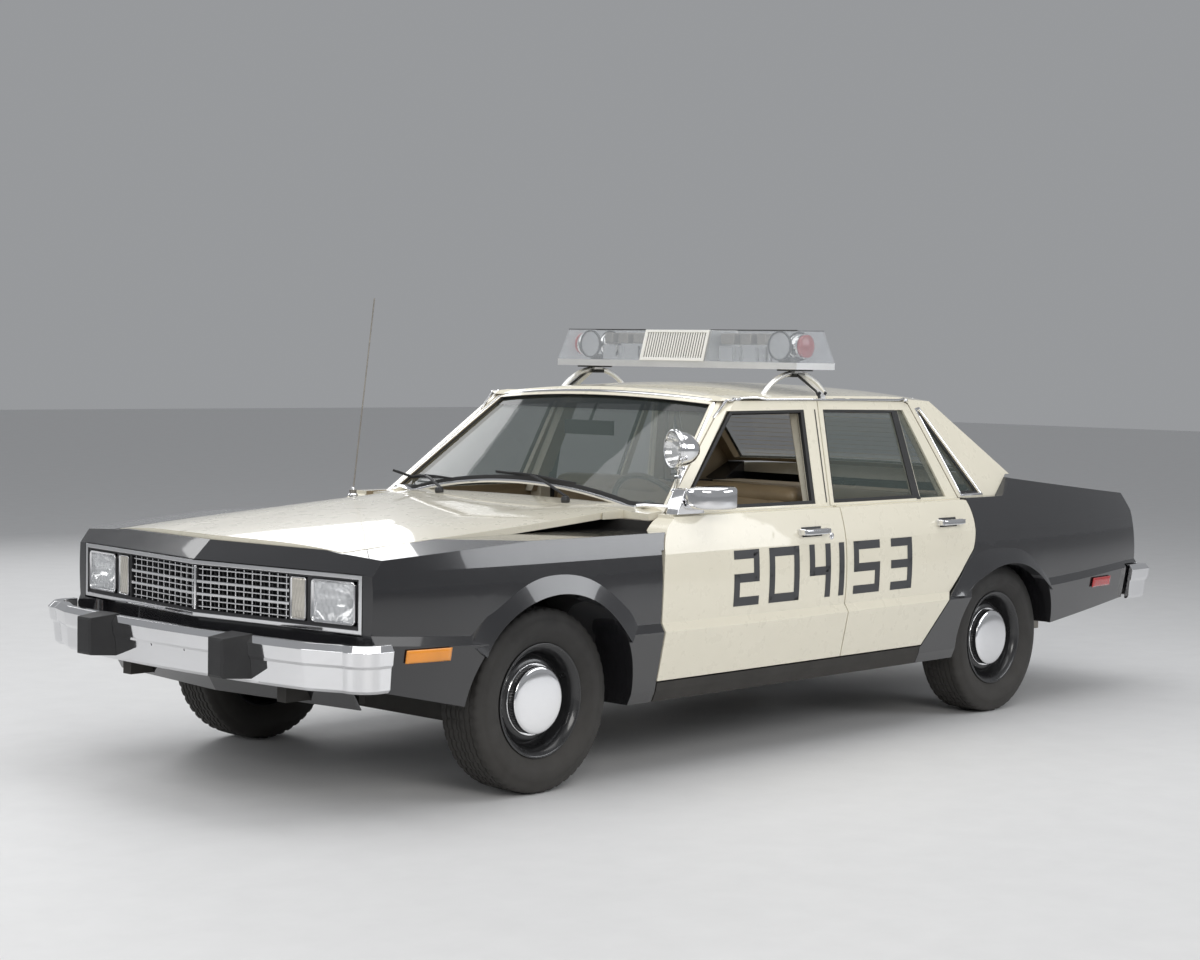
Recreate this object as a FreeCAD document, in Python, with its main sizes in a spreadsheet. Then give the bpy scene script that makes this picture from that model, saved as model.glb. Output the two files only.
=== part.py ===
"""Police patrol car: a four-door sedan of the late 1970s with a roof light bar.

Frame: +X forward, +Y to the car's left, +Z up, origin on the floor below the middle of the car.
Lengths are millimetres. Left-hand pieces are made and mirrored in the plane Y = 0.
"""
import FreeCAD, Part
import math
import os
import Sketcher
from FreeCAD import Vector, Placement, Rotation

os.makedirs("parts", exist_ok=True)
doc = FreeCAD.newDocument("patrol_car")

# ---------------------------------------------------------------- driving dimensions
DIMENSIONS = (
    # alias, value in mm or degrees, meaning
    ("wheelbase", 2680, "front axle to rear axle"),
    ("front_axle_x", 1452, "front axle ahead of the origin"),
    ("front_track", 1438, "between front tyre centre planes"),
    ("rear_track", 1448, "between rear tyre centre planes"),
    ("tyre_radius", 310, "outside radius of the tyre, and the height of the hubs"),
    ("tyre_width", 190, "section width"),
    ("rim_radius", 191, "outside radius of the rim's flange"),
    ("rim_width", 152, "between the rim's outside faces"),
    ("spindle_radius", 30, "axle ends inside the wheels"),
    ("cap_radius", 112, "outside radius of the hub cap"),
    ("kingpin_y", 655, "steering axis from the centre line"),
    ("kingpin_radius", 10, "steering pins"),
    ("panel_gap", 6, "shut line between panels"),
    ("sill_bottom", 262, "bottom of the sills"),
    ("door_bottom", 336, "bottom edge of the doors"),
    ("belt_height", 905, "top of the doors below the glass"),
    ("door_inner_y", 772, "inside face of the doors"),
    ("roof_top", 1357, "highest point of the roof panel"),
    ("roof_wall", 34, "thickness of the roof and pillars"),
    ("glass_wall", 6, "thickness of the glass"),
    ("glass_inset", 9, "glass behind the body's surface"),
    ("nose_x", 2277, "front of the grille on the centre line"),
    ("nose_side_x", 2190, "front of the lamp surround at its sides"),
    ("surround_half_width", 740, "half width of the chrome lamp surround"),
    ("surround_top", 764, "top of the chrome lamp surround"),
    ("surround_bottom", 580, "bottom of the chrome lamp surround"),
    ("tail_lamp_length", 330, "length of one tail lamp"),
    ("bumper_height", 150, "height of the bumper bars"),
    ("bumper_bottom", 410, "bottom edge of the bumper bars"),
    ("bar_centre_x", -192, "middle of the light bar"),
    ("bar_length", 1274, "light bar across the car"),
    ("bar_depth", 240, "light bar fore and aft"),
    ("bar_base_bottom", 1414, "underside of the light bar's base"),
    ("bar_base_height", 26, "height of the light bar's base"),
    ("bar_top", 1566, "top of the light bar's lens"),
    ("engine_length", 620, "engine block fore and aft"),
    ("engine_width", 480, "engine block across"),
    ("engine_height", 430, "engine block from sump to cover"),
    ("tank_length", 420, "fuel tank fore and aft"),
    ("tank_width", 900, "fuel tank across"),
    ("tank_height", 170, "fuel tank height"),
    ("steering_wheel_radius", 190, "steering wheel's rim"),
    ("steering_tilt", 68, "column's angle from vertical, degrees"),
    ("seat_width", 1320, "bench seats across"),
    ("antenna_height", 760, "whip antenna above its base"),
)
sheet = doc.addObject("Spreadsheet::Sheet", "Dimensions")
for row, (alias, value, meaning) in enumerate(DIMENSIONS, 1):
    sheet.set(f"A{row}", meaning)
    sheet.set(f"B{row}", str(value))
    sheet.setAlias(f"B{row}", alias)
doc.recompute()


def size(alias):
    return float(sheet.get(alias))


SUBPARTS = []
WHEELBASE = size("wheelbase")
FRONT_X = size("front_axle_x")
REAR_X = FRONT_X - WHEELBASE
GAP = size("panel_gap")
BELT = size("belt_height")
NOSE_X = size("nose_x")
NOSE_SIDE_X = size("nose_side_x")
DOOR_INNER_Y = size("door_inner_y")
DOOR_BOTTOM = size("door_bottom")
ROOF_WALL = size("roof_wall")
HUB_Z = size("tyre_radius")


# ---------------------------------------------------------------- small tools
def feature(label, shape):
    """A sub-part made with Part's functions, kept as a Part::Feature."""
    item = doc.addObject("Part::Feature", label)
    item.Label = label
    item.Shape = shape
    item.Placement = Placement()
    SUBPARTS.append(item)
    return item


def keep(item, label):
    """A sub-part made as a PartDesign body or as Part primitives and booleans."""
    item.Label = label
    SUBPARTS.append(item)
    return item


def term_value(term):
    """A size: a plain number, an alias, or (alias, factor, offset) on a cell of the sheet."""
    if isinstance(term, str):
        return size(term)
    if isinstance(term, tuple):
        alias, factor, offset = term
        return factor * size(alias) + offset
    return float(term)


def term_formula(term):
    if isinstance(term, str):
        return f"Dimensions.{term}"
    if isinstance(term, tuple):
        alias, factor, offset = term
        return f"{factor} * Dimensions.{alias} + {offset}"
    return str(term)


def primitive(kind, name, at=(0, 0, 0), turn=Rotation(), **terms):
    """A Part primitive whose sizes and place are bound to the sheet."""
    item = doc.addObject(kind, name)
    item.Placement = Placement(Vector(), turn)
    for axis, term in zip("xyz", at):
        item.setExpression(f"Placement.Base.{axis}", term_formula(term))
    for name_of_size, term in terms.items():
        item.setExpression(name_of_size, term_formula(term))
    return item


def joined(name, *items):
    fuse = doc.addObject("Part::MultiFuse", name)
    fuse.Shapes = list(items)
    return fuse


def cut_away(name, base, tool):
    cut = doc.addObject("Part::Cut", name)
    cut.Base = base
    cut.Tool = tool
    return cut


def outline_sketch(body, role, corners):
    """A closed outline of straight lines on one of the body's own planes, each corner bound to the sheet."""
    sketch = body.newObject("Sketcher::SketchObject", body.Name + "_outline")
    plane = next(item for item in body.Origin.OriginFeatures if item.Role == role)
    sketch.AttachmentSupport = [(plane, "")]
    sketch.MapMode = "FlatFace"
    points = [Vector(term_value(u), term_value(v), 0) for u, v in corners]
    for index, point in enumerate(points):
        sketch.addGeometry(Part.LineSegment(point, points[(index + 1) % len(points)]), False)
    for index in range(len(points)):
        sketch.addConstraint(Sketcher.Constraint("Coincident", index, 2, (index + 1) % len(points), 1))
    for index, corner in enumerate(corners):
        for kind, term in zip(("DistanceX", "DistanceY"), corner):
            number = sketch.addConstraint(Sketcher.Constraint(kind, -1, 1, index, 1, term_value(term)))
            if not isinstance(term, (int, float)):
                sketch.setExpression(f"Constraints[{number}]", term_formula(term))
    return sketch


def padded_body(name, corners, width):
    """A body padded both ways across the car from an outline of (x, z) corners."""
    body = doc.addObject("PartDesign::Body", name)
    pad = body.newObject("PartDesign::Pad", name + "_pad")
    pad.Profile = outline_sketch(body, "XZ_Plane", corners)
    pad.SideType = "Symmetric"
    pad.setExpression("Length", term_formula(width))
    return body


def turned_body(name, corners, at, half_turn):
    """A body turned about its own Y axis from an outline of (y, radius) corners, placed at a hub."""
    body = doc.addObject("PartDesign::Body", name)
    turned = body.newObject("PartDesign::Revolution", name + "_turned")
    sketch = outline_sketch(body, "YZ_Plane", corners)
    turned.Profile = sketch
    turned.ReferenceAxis = (sketch, ["H_Axis"])
    turned.Angle = 360
    body.Placement = Placement(Vector(), Rotation(Vector(0, 0, 1), 180 if half_turn else 0))
    for axis, term in zip("xyz", at):
        body.setExpression(f"Placement.Base.{axis}", term_formula(term))
    return body


def mirror(shape):
    return shape.mirror(Vector(0, 0, 0), Vector(0, 1, 0))


def main_solids(shape, least=50000.0):
    """The shape without the slivers that booleans leave, under this volume in cubic millimetres."""
    return Part.makeCompound([solid for solid in shape.Solids if solid.Volume > least])


def both_sides(shape):
    return Part.makeCompound([shape, mirror(shape)])


def symmetric(shape):
    """The shape's left half, joined with its mirror image."""
    half = shape.common(block(-3000, 3000, 0, 1000, 0, 2000))
    return half.fuse(mirror(half)).removeSplitter()


def block(x0, x1, y0, y1, z0, z1):
    return Part.makeBox(x1 - x0, y1 - y0, z1 - z0, Vector(x0, y0, z0))


def wire_of(points, closed=True):
    """A wire through 3-D points. ("arc", p) is the middle of an arc from the last point to the next."""
    edges, items = [], list(points)
    if closed:
        items.append(items[0])
    last, index = items[0], 1
    while index < len(items):
        item = items[index]
        if item[0] == "arc":
            end = items[index + 1]
            edges.append(Part.Arc(Vector(*last), Vector(*item[1]), Vector(*end)).toShape())
            last, index = end, index + 2
        else:
            edges.append(Part.LineSegment(Vector(*last), Vector(*item)).toShape())
            last, index = item, index + 1
    return Part.Wire(edges)


def on_plane(points, place):
    """Maps 2-D points, arcs included, into space with place(u, v)."""
    return [("arc", place(*p[1])) if p[0] == "arc" else place(*p) for p in points]


def side_prism(outline, y0, y1):
    """A prism across the car from an outline of (x, z) points."""
    wire = wire_of(on_plane(outline, lambda x, z: (x, y0, z)))
    return Part.Face(wire).extrude(Vector(0, y1 - y0, 0))


def plan_prism(outline, z0, z1):
    """An upright prism from an outline of (x, y) points."""
    wire = wire_of(on_plane(outline, lambda x, y: (x, y, z0)))
    return Part.Face(wire).extrude(Vector(0, 0, z1 - z0))


def front_prism(outline, x0, x1):
    """A prism along the car from an outline of (y, z) points."""
    wire = wire_of(on_plane(outline, lambda y, z: (x0, y, z)))
    return Part.Face(wire).extrude(Vector(x1 - x0, 0, 0))


def tube(points, radius):
    """A round bar along straight runs joined with ball corners."""
    parts = []
    for a, b in zip(points, points[1:]):
        a, b = Vector(*a), Vector(*b)
        parts.append(Part.makeCylinder(radius, (b - a).Length, a, b - a))
        parts.append(Part.makeSphere(radius, b))
    return parts[0].fuse(parts[1:-1]).removeSplitter()


# ---------------------------------------------------------------- body surfaces
# The body side at each station: half width, and the bottom and top of the lower crease.
SIDE_STATIONS = (
    # x, half width, crease bottom, crease top
    (2300, 752, 560, 590),
    (2000, 826, 540, 569),
    (1500, 874, 519, 549),
    (700, 889, 507, 537),
    (-80, 891, 507, 537),
    (-900, 889, 507, 537),
    (-1500, 878, 515, 545),
    (-2000, 852, 540, 567),
    (-2420, 808, 556, 583),
)


def side_section(x, half, crease_low, crease_top, inset=0.0):
    """Section of the left side: sill, tucked-under lower side, crease and gently curved upper side."""
    h = half - inset
    outline = [
        (380, 240), (h - 56, 240), (h - 30, 300), (h + 12, crease_low), (h - 7, crease_top),
        ("arc", (h, 680)), (h - 6, 775), ("arc", (h - 36, 890)), (h - 94, 1010), (380, 1010),
    ]
    return wire_of(on_plane(outline, lambda y, z: (x, y, z)))


def side_solid(inset=0.0):
    return Part.makeLoft([side_section(*row, inset=inset) for row in SIDE_STATIONS], True, False)


# The hood and front wings' upper surface: height at the centre, at the ridge and at the wing's edge.
HOOD_STATIONS = (
    # x, centre height, ridge y, ridge height, edge y, edge height, outer y, outer height
    (2320, 832, 225, 828, 596, 806, 950, 782),
    (1750, 878, 290, 874, 612, 852, 950, 832),
    (1250, 908, 345, 904, 626, 884, 950, 866),
    (830, 928, 392, 924, 640, 909, 950, 896),
    (650, 935, 408, 931, 648, 917, 950, 905),
)


def hood_section(x, centre, ridge_y, ridge, edge_y, edge, outer_y, outer, drop=0.0):
    """Section under the hood's surface, full width, down to the sills."""
    left = [
        (outer_y, outer - drop), (edge_y, edge - drop), (ridge_y, ridge - drop),
    ]
    mid_edge = ((edge_y + ridge_y) / 2, (edge + ridge) / 2 + 5 - drop)
    right = [(-y, z) for y, z in reversed(left)]
    outline = [(outer_y, 230), left[0], left[1], ("arc", mid_edge), left[2],
               ("arc", (0, centre - drop)), right[0], ("arc", (-mid_edge[0], mid_edge[1])),
               right[1], right[2], (-outer_y, 230)]
    return wire_of(on_plane(outline, lambda y, z: (x, y, z)))


def hood_solid(drop=0.0):
    return Part.makeLoft([hood_section(*row, drop=drop) for row in HOOD_STATIONS], True, False)


# The rear deck's upper surface: height at the centre and at the edge.
DECK_STATIONS = (
    # x, centre height, edge y, edge height
    (-560, 1075, 800, 1051),
    (-2420, 880, 800, 862),
)


def deck_section(x, centre, edge_y, edge, drop=0.0):
    outline = [(1000, 230), (1000, edge - 30 - drop), (edge_y, edge - drop), ("arc", (0, centre - drop)),
               (-edge_y, edge - drop), (-1000, edge - 30 - drop), (-1000, 230)]
    return wire_of(on_plane(outline, lambda y, z: (x, y, z)))


def deck_solid(drop=0.0):
    return Part.makeLoft([deck_section(*row, drop=drop) for row in DECK_STATIONS], True, False)


def crowned(x0, x1, top, half_width, side_drop, end_drop, bottom):
    """A block crowned both ways: a profile with an arc on top, turned about a far axis across the car."""
    middle, reach = (x0 + x1) / 2, (x1 - x0) / 2
    turn_radius = (reach ** 2 + end_drop ** 2) / (2 * end_drop)
    profile = wire_of([
        (middle, -half_width, bottom), (middle, half_width, bottom), (middle, half_width, top - side_drop),
        ("arc", (middle, 0, top)), (middle, -half_width, top - side_drop),
    ])
    axis_point = Vector(middle, 0, top - turn_radius)
    angle = math.degrees(math.asin(reach / turn_radius)) * 1.4
    face = Part.Face(profile)
    face.rotate(axis_point, Vector(0, 1, 0), -angle)
    return face.revolve(axis_point, Vector(0, 1, 0), 2 * angle)


# The cabin's outer surface, as plan outlines at two heights.
CABIN_LOW_Z, CABIN_HIGH_Z = 880.0, 1380.0
CABIN_CORNERS = (
    # name, x and y at the belt's height of 905, x and y at the height 1330
    ("front centre", 930, 0, 350, 0),
    ("front corner", 756, 775, 256, 627),
    ("side middle", -80, 806, -80, 648),
    ("rear corner", -1480, 800, -883, 632),
    ("rear centre", -1545, 0, -930, 0),
)


def cabin_solid(inset=0.0):
    """The glasshouse as a ruled loft between two plan outlines with arcs for the front, sides and rear."""
    wires = []
    for z in (CABIN_LOW_Z, CABIN_HIGH_Z):
        share = (z - 905) / (1330 - 905)
        points = {}
        for name, x_low, y_low, x_high, y_high in CABIN_CORNERS:
            x = x_low + share * (x_high - x_low)
            y = y_low + share * (y_high - y_low)
            shift = {"front": -1.75 * inset, "rear": 1.75 * inset, "side": 0}[name.split()[0]]
            points[name] = (x + shift, max(0, y - 1.07 * inset))
        fc, fo, sm, ro, rc = (points[row[0]] for row in CABIN_CORNERS)
        outline = [(fo[0], -fo[1]), ("arc", fc), fo, ("arc", sm), ro, ("arc", rc), (ro[0], -ro[1]),
                   ("arc", (sm[0], -sm[1]))]
        wires.append(wire_of(on_plane(outline, lambda x, y: (x, y, z))))
    return Part.makeLoft(wires, True, True)


def roof_cap(inset=0.0):
    return crowned(-1100, 500, size("roof_top") - inset, 900, 88, 32, 700)


def cabin_shell(inset):
    """The cabin's volume inside a skin of this thickness."""
    return cabin_solid(inset).common(roof_cap(inset * 0.8))


SIDE = side_solid()
CABIN_OUTER = cabin_shell(0.0)
CABIN_INNER = cabin_shell(ROOF_WALL)
CABIN_WALL = CABIN_OUTER.cut(CABIN_INNER)
FRAME_SKIN = CABIN_OUTER.cut(cabin_shell(8))
FRAME_CORE = cabin_shell(8).cut(CABIN_INNER)
GLASS_LAYER = cabin_shell(size("glass_inset")).cut(cabin_shell(size("glass_inset") + size("glass_wall")))
HOOD_TOP = hood_solid()
DECK_TOP = deck_solid()

# ---------------------------------------------------------------- outlines on the body's side, as (x, z)
FRONT_DOOR = [
    (953, DOOR_BOTTOM), (950, 540), ("arc", (950, 700)), (940, 780), ("arc", (918, 850)), (864, 893),
    (864, 905), (691, 997), (324, 1286), ("arc", (300, 1294)), (270, 1296), (-166, 1296), (-78, 905),
    (-78, DOOR_BOTTOM),
]
REAR_DOOR = [
    (-78 - GAP, DOOR_BOTTOM), (-78 - GAP, 905), (-166 - GAP, 1296),
    (-738, 1291), (-766, 1280), (-922, 900), ("arc", (-949, 765)), (-930, 700),
    ("arc", (-880, 650)), (-840, 604),
    (-745, 505), (-607, DOOR_BOTTOM),
]
FRONT_WINDOW = [(748, 912), (344, 1258), (-76, 1262), (2, 912)]
REAR_WINDOW = [(-107, 912), (-190, 1262), (-718, 1257), (-840, 912)]
QUARTER_WINDOW = [(-954, 918), (-822, 1250), (-836, 1252), (-1086, 918)]
WINDSHIELD = [(706, 924), ("arc", (0, 934)), (-706, 924), (-556, 1281), ("arc", (0, 1305)), (556, 1281)]
BACKLIGHT = [(682, 998), ("arc", (0, 1006)), (-682, 998), (-556, 1284), ("arc", (0, 1308)), (556, 1284)]

# Wheel openings, as (x, z).
FRONT_ARCH = [(FRONT_X + 376, 180), (FRONT_X + 378, 306), ("arc", (FRONT_X, 672)), (FRONT_X - 376, 306),
              (FRONT_X - 372, 180)]
REAR_ARCH = [(REAR_X + 366, 180), (REAR_X + 372, 306), ("arc", (REAR_X + 326, 498)), (REAR_X + 184, 602),
             ("arc", (REAR_X + 10, 628)), (REAR_X - 170, 585), ("arc", (REAR_X - 300, 480)),
             (REAR_X - 346, 306),
             (REAR_X - 340, 180)]


def shifted_rear(outline, x_limit, amount):
    """The outline with the points behind x_limit moved forward, as for layers that clear as a door swings."""
    def move(x, z):
        return (x + amount, z) if x < x_limit else (x, z)

    return [("arc", move(*p[1])) if p[0] == "arc" else move(*p) for p in outline]


def offset_prism(outline, amount, y0, y1):
    """A side prism whose outline is offset outwards by an exact amount."""
    wire = wire_of(on_plane(outline, lambda x, z: (x, y0, z)))
    return Part.Face(wire.makeOffset2D(amount, 2)).extrude(Vector(0, y1 - y0, 0))


# ---------------------------------------------------------------- doors
DOOR_STEP_Y = 850.0
DOOR_CORE_STEP = 14.0
SIDE_ZONE = front_prism([(747, 860), (1100, 860), (1100, 1400), (563, 1400)], -1600, 1200)
SIDE_ZONE_WIDE = front_prism([(741, 860), (1100, 860), (1100, 1400), (557, 1400)], -1600, 1200)


def door(outline, window, rear_limit):
    """A door as thick as its wall, with its window frame. Its rear edge steps forward inside the skin."""
    inner_outline = shifted_rear(outline, rear_limit, DOOR_CORE_STEP)
    low = block(-1200, 1200, 0, 1000, 200, BELT - 6)
    skin = SIDE.common(side_prism(outline, DOOR_STEP_Y, 1000)).common(low)
    core = SIDE.common(side_prism(inner_outline, DOOR_INNER_Y, DOOR_STEP_Y)).common(low)
    top = block(-1200, 1200, 700, 832, BELT - 6, BELT)
    ledge = side_prism(inner_outline, DOOR_INNER_Y, 832).common(top)
    high = block(-1200, 1200, 0, 1000, 870, 1400)
    frame_skin = FRAME_SKIN.common(side_prism(outline, 500, 1000)).common(high)
    frame_core = FRAME_CORE.common(side_prism(inner_outline, 500, 1000)).common(high)
    frame = frame_skin.fuse(frame_core).common(SIDE_ZONE).cut(side_prism(window, 500, 1000))
    return core.fuse([skin, ledge, frame]).removeSplitter()


DIVIDER = [(-632, 890), (-656, 1280), (-684, 1280), (-668, 890)]
front_door = door(FRONT_DOOR, FRONT_WINDOW, 200)
rear_door = door(REAR_DOOR, REAR_WINDOW, -500)
divider = cabin_shell(4).cut(cabin_shell(24)).common(side_prism(DIVIDER, 500, 1000))
rear_door = rear_door.fuse(divider).removeSplitter()

side_glass = GLASS_LAYER.common(SIDE_ZONE)
rear_glass = side_glass.common(side_prism(REAR_WINDOW, 500, 1000)).cut(side_prism(DIVIDER, 500, 1000))
front_glass = main_solids(side_glass.common(side_prism(FRONT_WINDOW, 500, 1000)))
FRONT_DOOR_GAP = offset_prism(FRONT_DOOR, GAP, 500, 1000)
REAR_DOOR_GAP = offset_prism(REAR_DOOR, GAP, 500, 1000)
DOOR_CUT = FRONT_DOOR_GAP.fuse(REAR_DOOR_GAP)

# ---------------------------------------------------------------- roof with its pillars
RAIL_INNER, RAIL_OUTER = 78.0, 30.0
frame_cut = DOOR_CUT.common(SIDE_ZONE_WIDE)
roof = CABIN_WALL.cut(frame_cut)
roof = roof.cut([front_prism(WINDSHIELD, 0, 1200), front_prism(BACKLIGHT, -2000, -700)])
quarter_cut = side_prism(QUARTER_WINDOW, 500, 1000)
roof = roof.cut(quarter_cut)
BELT_LINE = [(-1198, 905), (-1330, 988)]
below = side_prism([(1400, 600), (1400, 905), *BELT_LINE, (-1800, 988), (-1800, 600)], -1000, 1000)
roof = roof.cut(below)
rail_layer = cabin_shell(RAIL_OUTER).cut(cabin_shell(RAIL_INNER))
rail = rail_layer.common(block(-860, 300, 500, 1000, 1304, 1340))
tie = rail_layer.common(block(-158, -100, 500, 592, 1250, 1340))
post = cabin_shell(ROOF_WALL + GAP).cut(cabin_shell(RAIL_INNER))
post = post.common(side_prism([(-20, 880), (-96, 1330), (-166, 1330), (-100, 880)], 500, 1000))
post = post.cut(block(-200, 0, DOOR_INNER_Y - GAP, 900, 800, BELT))
low_post = block(-108, -52, 706, DOOR_INNER_Y - GAP, 290, 900)
drip = cabin_shell(-9).cut([CABIN_OUTER, DOOR_CUT])
drip = drip.common(side_prism([(330, 1293), (300, 1303), (-100, 1304), (-700, 1300), (-770, 1290),
                               (-764, 1302),
                               (-700, 1311), (-100, 1315), (306, 1313)], 500, 1000))
SILL = SIDE.common(block(-600, 951, 700, 1000, 262, DOOR_BOTTOM - GAP))
SILL = SILL.cut(block(-2000, 2000, 0, 740, 292, 400))
left_inner = rail.fuse([post, low_post, tie]).cut(SILL)
roof = symmetric(roof.fuse([left_inner, drip]))
feature("roof", main_solids(roof))

windshield = GLASS_LAYER.common(front_prism(WINDSHIELD, 0, 1200))
backlight = GLASS_LAYER.common(front_prism(BACKLIGHT, -2000, -700))
quarter_glass = GLASS_LAYER.common(quarter_cut)
feature("window_glass", Part.makeCompound([windshield, backlight, quarter_glass, mirror(quarter_glass)]))


# ---------------------------------------------------------------- nose
def nose_x(y, z=700.0):
    """The front surface: a shallow V in plan, sloping back above the lamps."""
    slope = max(0.0, z - size("surround_top")) / 69.0
    low = NOSE_X + (NOSE_SIDE_X - NOSE_X) * abs(y) / size("surround_half_width")
    high = 2203 - 0.092 * abs(y)
    return low + slope * (high - low)


def nose_wire(z, level):
    points = [(-400, -1000), (nose_x(1000, level), -1000), (nose_x(0, level), 0), (nose_x(1000, level), 1000),
              (-400, 1000)]
    return wire_of(on_plane(points, lambda x, y: (x, y, z)))


NOSE = Part.makeLoft([nose_wire(200, 700), nose_wire(764, 764), nose_wire(850, 850)], True, True)


def v_band(y0, y1, z0, z1, front, depth):
    """A block that follows the V of the nose, on the left: its face is this far ahead of the nose."""
    points = [(nose_x(y0) + front, y0), (nose_x(y1) + front, y1), (nose_x(y1) + front - depth, y1),
              (nose_x(y0) + front - depth, y0)]
    return plan_prism(points, z0, z1)


def v_plate(half, levels, thick):
    """A plate across the car that follows the V of the nose, through levels of (height, distance ahead)."""
    wires = []
    for z, front in levels:
        face = [(nose_x(half) + front, -half), (nose_x(0) + front, 0), (nose_x(half) + front, half)]
        back = [(x - thick, y) for x, y in reversed(face)]
        wires.append(wire_of(on_plane(face + back, lambda x, y: (x, y, z))))
    return Part.makeLoft(wires, True, True)


# ---------------------------------------------------------------- flares round the wheel openings
FLARE_RISE, FLARE_ROOT, FLARE_FOOT = 15.0, 24.0, 2.5
FRONT_FLARE = [
    # outer edge x and z, inner edge x and z
    (FRONT_X + 438 * math.cos(math.radians(angle)), 310 + 438 * math.sin(math.radians(angle)),
     FRONT_X + 374 * math.cos(math.radians(angle)), 306 + 364 * math.sin(math.radians(angle)))
    for angle in (30, 50, 70, 90, 110, 130, 150)
]
REAR_FLARE = [
    # outer edge x and z, inner edge x and z
    (-744, 520, -868, 516),
    (-836, 652, -948, 566),
    (-950, 700, -1044, 600),
    (-1160, 706, -1218, 627),
    (-1326, 680, -1340, 606),
    (-1446, 612, -1440, 560),
    (-1526, 552, -1516, 500),
]


def side_y(x, z):
    """Half width of the body's side at this place."""
    line = Part.makeLine(Vector(x, 500, z), Vector(x, 1100, z))
    return SIDE.common(line).BoundBox.YMax


def flare(stations):
    """A blister round a wheel opening: a wedge that rises from its outer edge to the lip of the opening."""
    wires = []
    for x_out, z_out, x_in, z_in in stations:
        y_out, y_in = side_y(x_out, z_out), side_y(x_in, z_in)
        wires.append(wire_of([(x_out, y_out - FLARE_FOOT, z_out), (x_in, y_in + FLARE_RISE, z_in),
                              (x_in, y_in - FLARE_ROOT, z_in), (x_out, y_out - FLARE_ROOT, z_out)]))
    return Part.makeLoft(wires, True, False)


# ---------------------------------------------------------------- front wings with the header and valance
WING_INNER_Y = 612.0
HOOD_OUTLINE = [(2147, -594), (2202, 0), (2147, 594), ("arc", (1500, 618)), (868, 600), ("arc", (960, 0)),
                (868, -600), ("arc", (1500, -618))]
hood_wire = wire_of(on_plane(HOOD_OUTLINE, lambda x, y: (x, y, 760)))
hood_zone = Part.Face(hood_wire).extrude(Vector(0, 0, 300))
hood_gap_zone = Part.Face(hood_wire.makeOffset2D(GAP, 2)).extrude(Vector(0, 0, 300))

wing_side = [(866, 262), (866, 1000), (2400, 1000), (2400, 410), (2180, 410), (1820, 330), (1820, 262)]
wing = SIDE.fuse(flare(FRONT_FLARE)).common(side_prism(wing_side, 560, 1000)).common(HOOD_TOP).common(NOSE)
behind_door_edge = side_prism([(860, 200), (860, 790), (958, 790), (958, 200)], 0, 1000)
wing = wing.cut([behind_door_edge, FRONT_DOOR_GAP, hood_gap_zone, side_prism(FRONT_ARCH, 500, 1000)])
wing = wing.cut(block(800, 2400, 0, WING_INNER_Y, 200, 1100))
lamp_pocket = v_band(0, size("surround_half_width") + 4, size("surround_bottom") - 6,
                     size("surround_top") + 3, 200, 280)
wing = wing.cut(lamp_pocket)
RAIL_Y0, RAIL_Y1, RAIL_BOTTOM, RAIL_TOP = 395.0, 440.0, 340.0, 440.0
rail_room = block(2000, 2400, RAIL_Y0 - 2, RAIL_Y1 + 2, RAIL_BOTTOM - 2, 522)
valance = v_plate(640, ((326, -96), (400, -52), (470, -18), (size("surround_bottom") - 6, -24)), 8)
header = NOSE.common(block(2060, 2400, -WING_INNER_Y, WING_INNER_Y, size("surround_top") + 3, 860))
header = header.common(hood_solid(1)).cut(hood_gap_zone)
valance = valance.cut([rail_room, mirror(rail_room)])
feature("front_fenders", header.fuse([valance, wing, mirror(wing)]).removeSplitter())

# ---------------------------------------------------------------- hood and cowl
HOOD_THICK = 24.0
COWL_BOTTOM = 880.0
feature("hood", HOOD_TOP.cut(hood_solid(HOOD_THICK)).common(hood_zone))

cowl_half = DOOR_INNER_Y - GAP
cowl = HOOD_TOP.common(block(720, 1000, -cowl_half, cowl_half, COWL_BOTTOM, 1000))
cowl_side = block(866, 1100, WING_INNER_Y, 900, 800, 1000)
cowl = symmetric(cowl.cut([hood_gap_zone, CABIN_OUTER, cowl_side, frame_cut]))
feature("cowl", main_solids(cowl))

# ---------------------------------------------------------------- lamp surround, bezel, grille and lamps
W = size("surround_half_width")
TOP, BOTTOM = size("surround_top"), size("surround_bottom")
FRAME = 13.0
LAMP_BAYS = (
    # y inner, y outer, z low, z high
    (524, 714, 604, 744),
    (434, 504, 604, 744),
    (8, 424, 602, 746),
)
ring = v_band(0, W, BOTTOM, TOP, 0, 62).cut(v_band(-40, W - FRAME, BOTTOM + FRAME, TOP - FRAME, 40, 140))
feature("lamp_surround", ring.fuse(mirror(ring)).removeSplitter())
bezel = v_band(0, W - FRAME, BOTTOM + FRAME, TOP - FRAME, -8, 50)
bezel = bezel.cut([v_band(y0, y1, z0, z1, 10, 90) for y0, y1, z0, z1 in LAMP_BAYS])
feature("lamp_bezel", bezel.fuse(mirror(bezel)).removeSplitter())

GRILLE_ROWS, GRILLE_COLUMNS = 7, 11
GRILLE_INNER, GRILLE_OUTER, GRILLE_LOW, GRILLE_HIGH = LAMP_BAYS[2]
bars = []
for row in range(GRILLE_ROWS):
    z = GRILLE_LOW + (GRILLE_HIGH - GRILLE_LOW) * (row + 0.5) / GRILLE_ROWS
    heavy = row in (2, 4)
    half_bar = 4.5 if heavy else 2.2
    bars.append(v_band(GRILLE_INNER, GRILLE_OUTER, z - half_bar, z + half_bar, -8 if heavy else -13, 22))
for column in range(GRILLE_COLUMNS):
    y = GRILLE_INNER + (GRILLE_OUTER - GRILLE_INNER) * (column + 0.5) / GRILLE_COLUMNS
    bars.append(v_band(y - 2, y + 2, GRILLE_LOW, GRILLE_HIGH, -15, 30))
feature("grille", both_sides(bars[0].fuse(bars[1:]).removeSplitter()))
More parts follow.
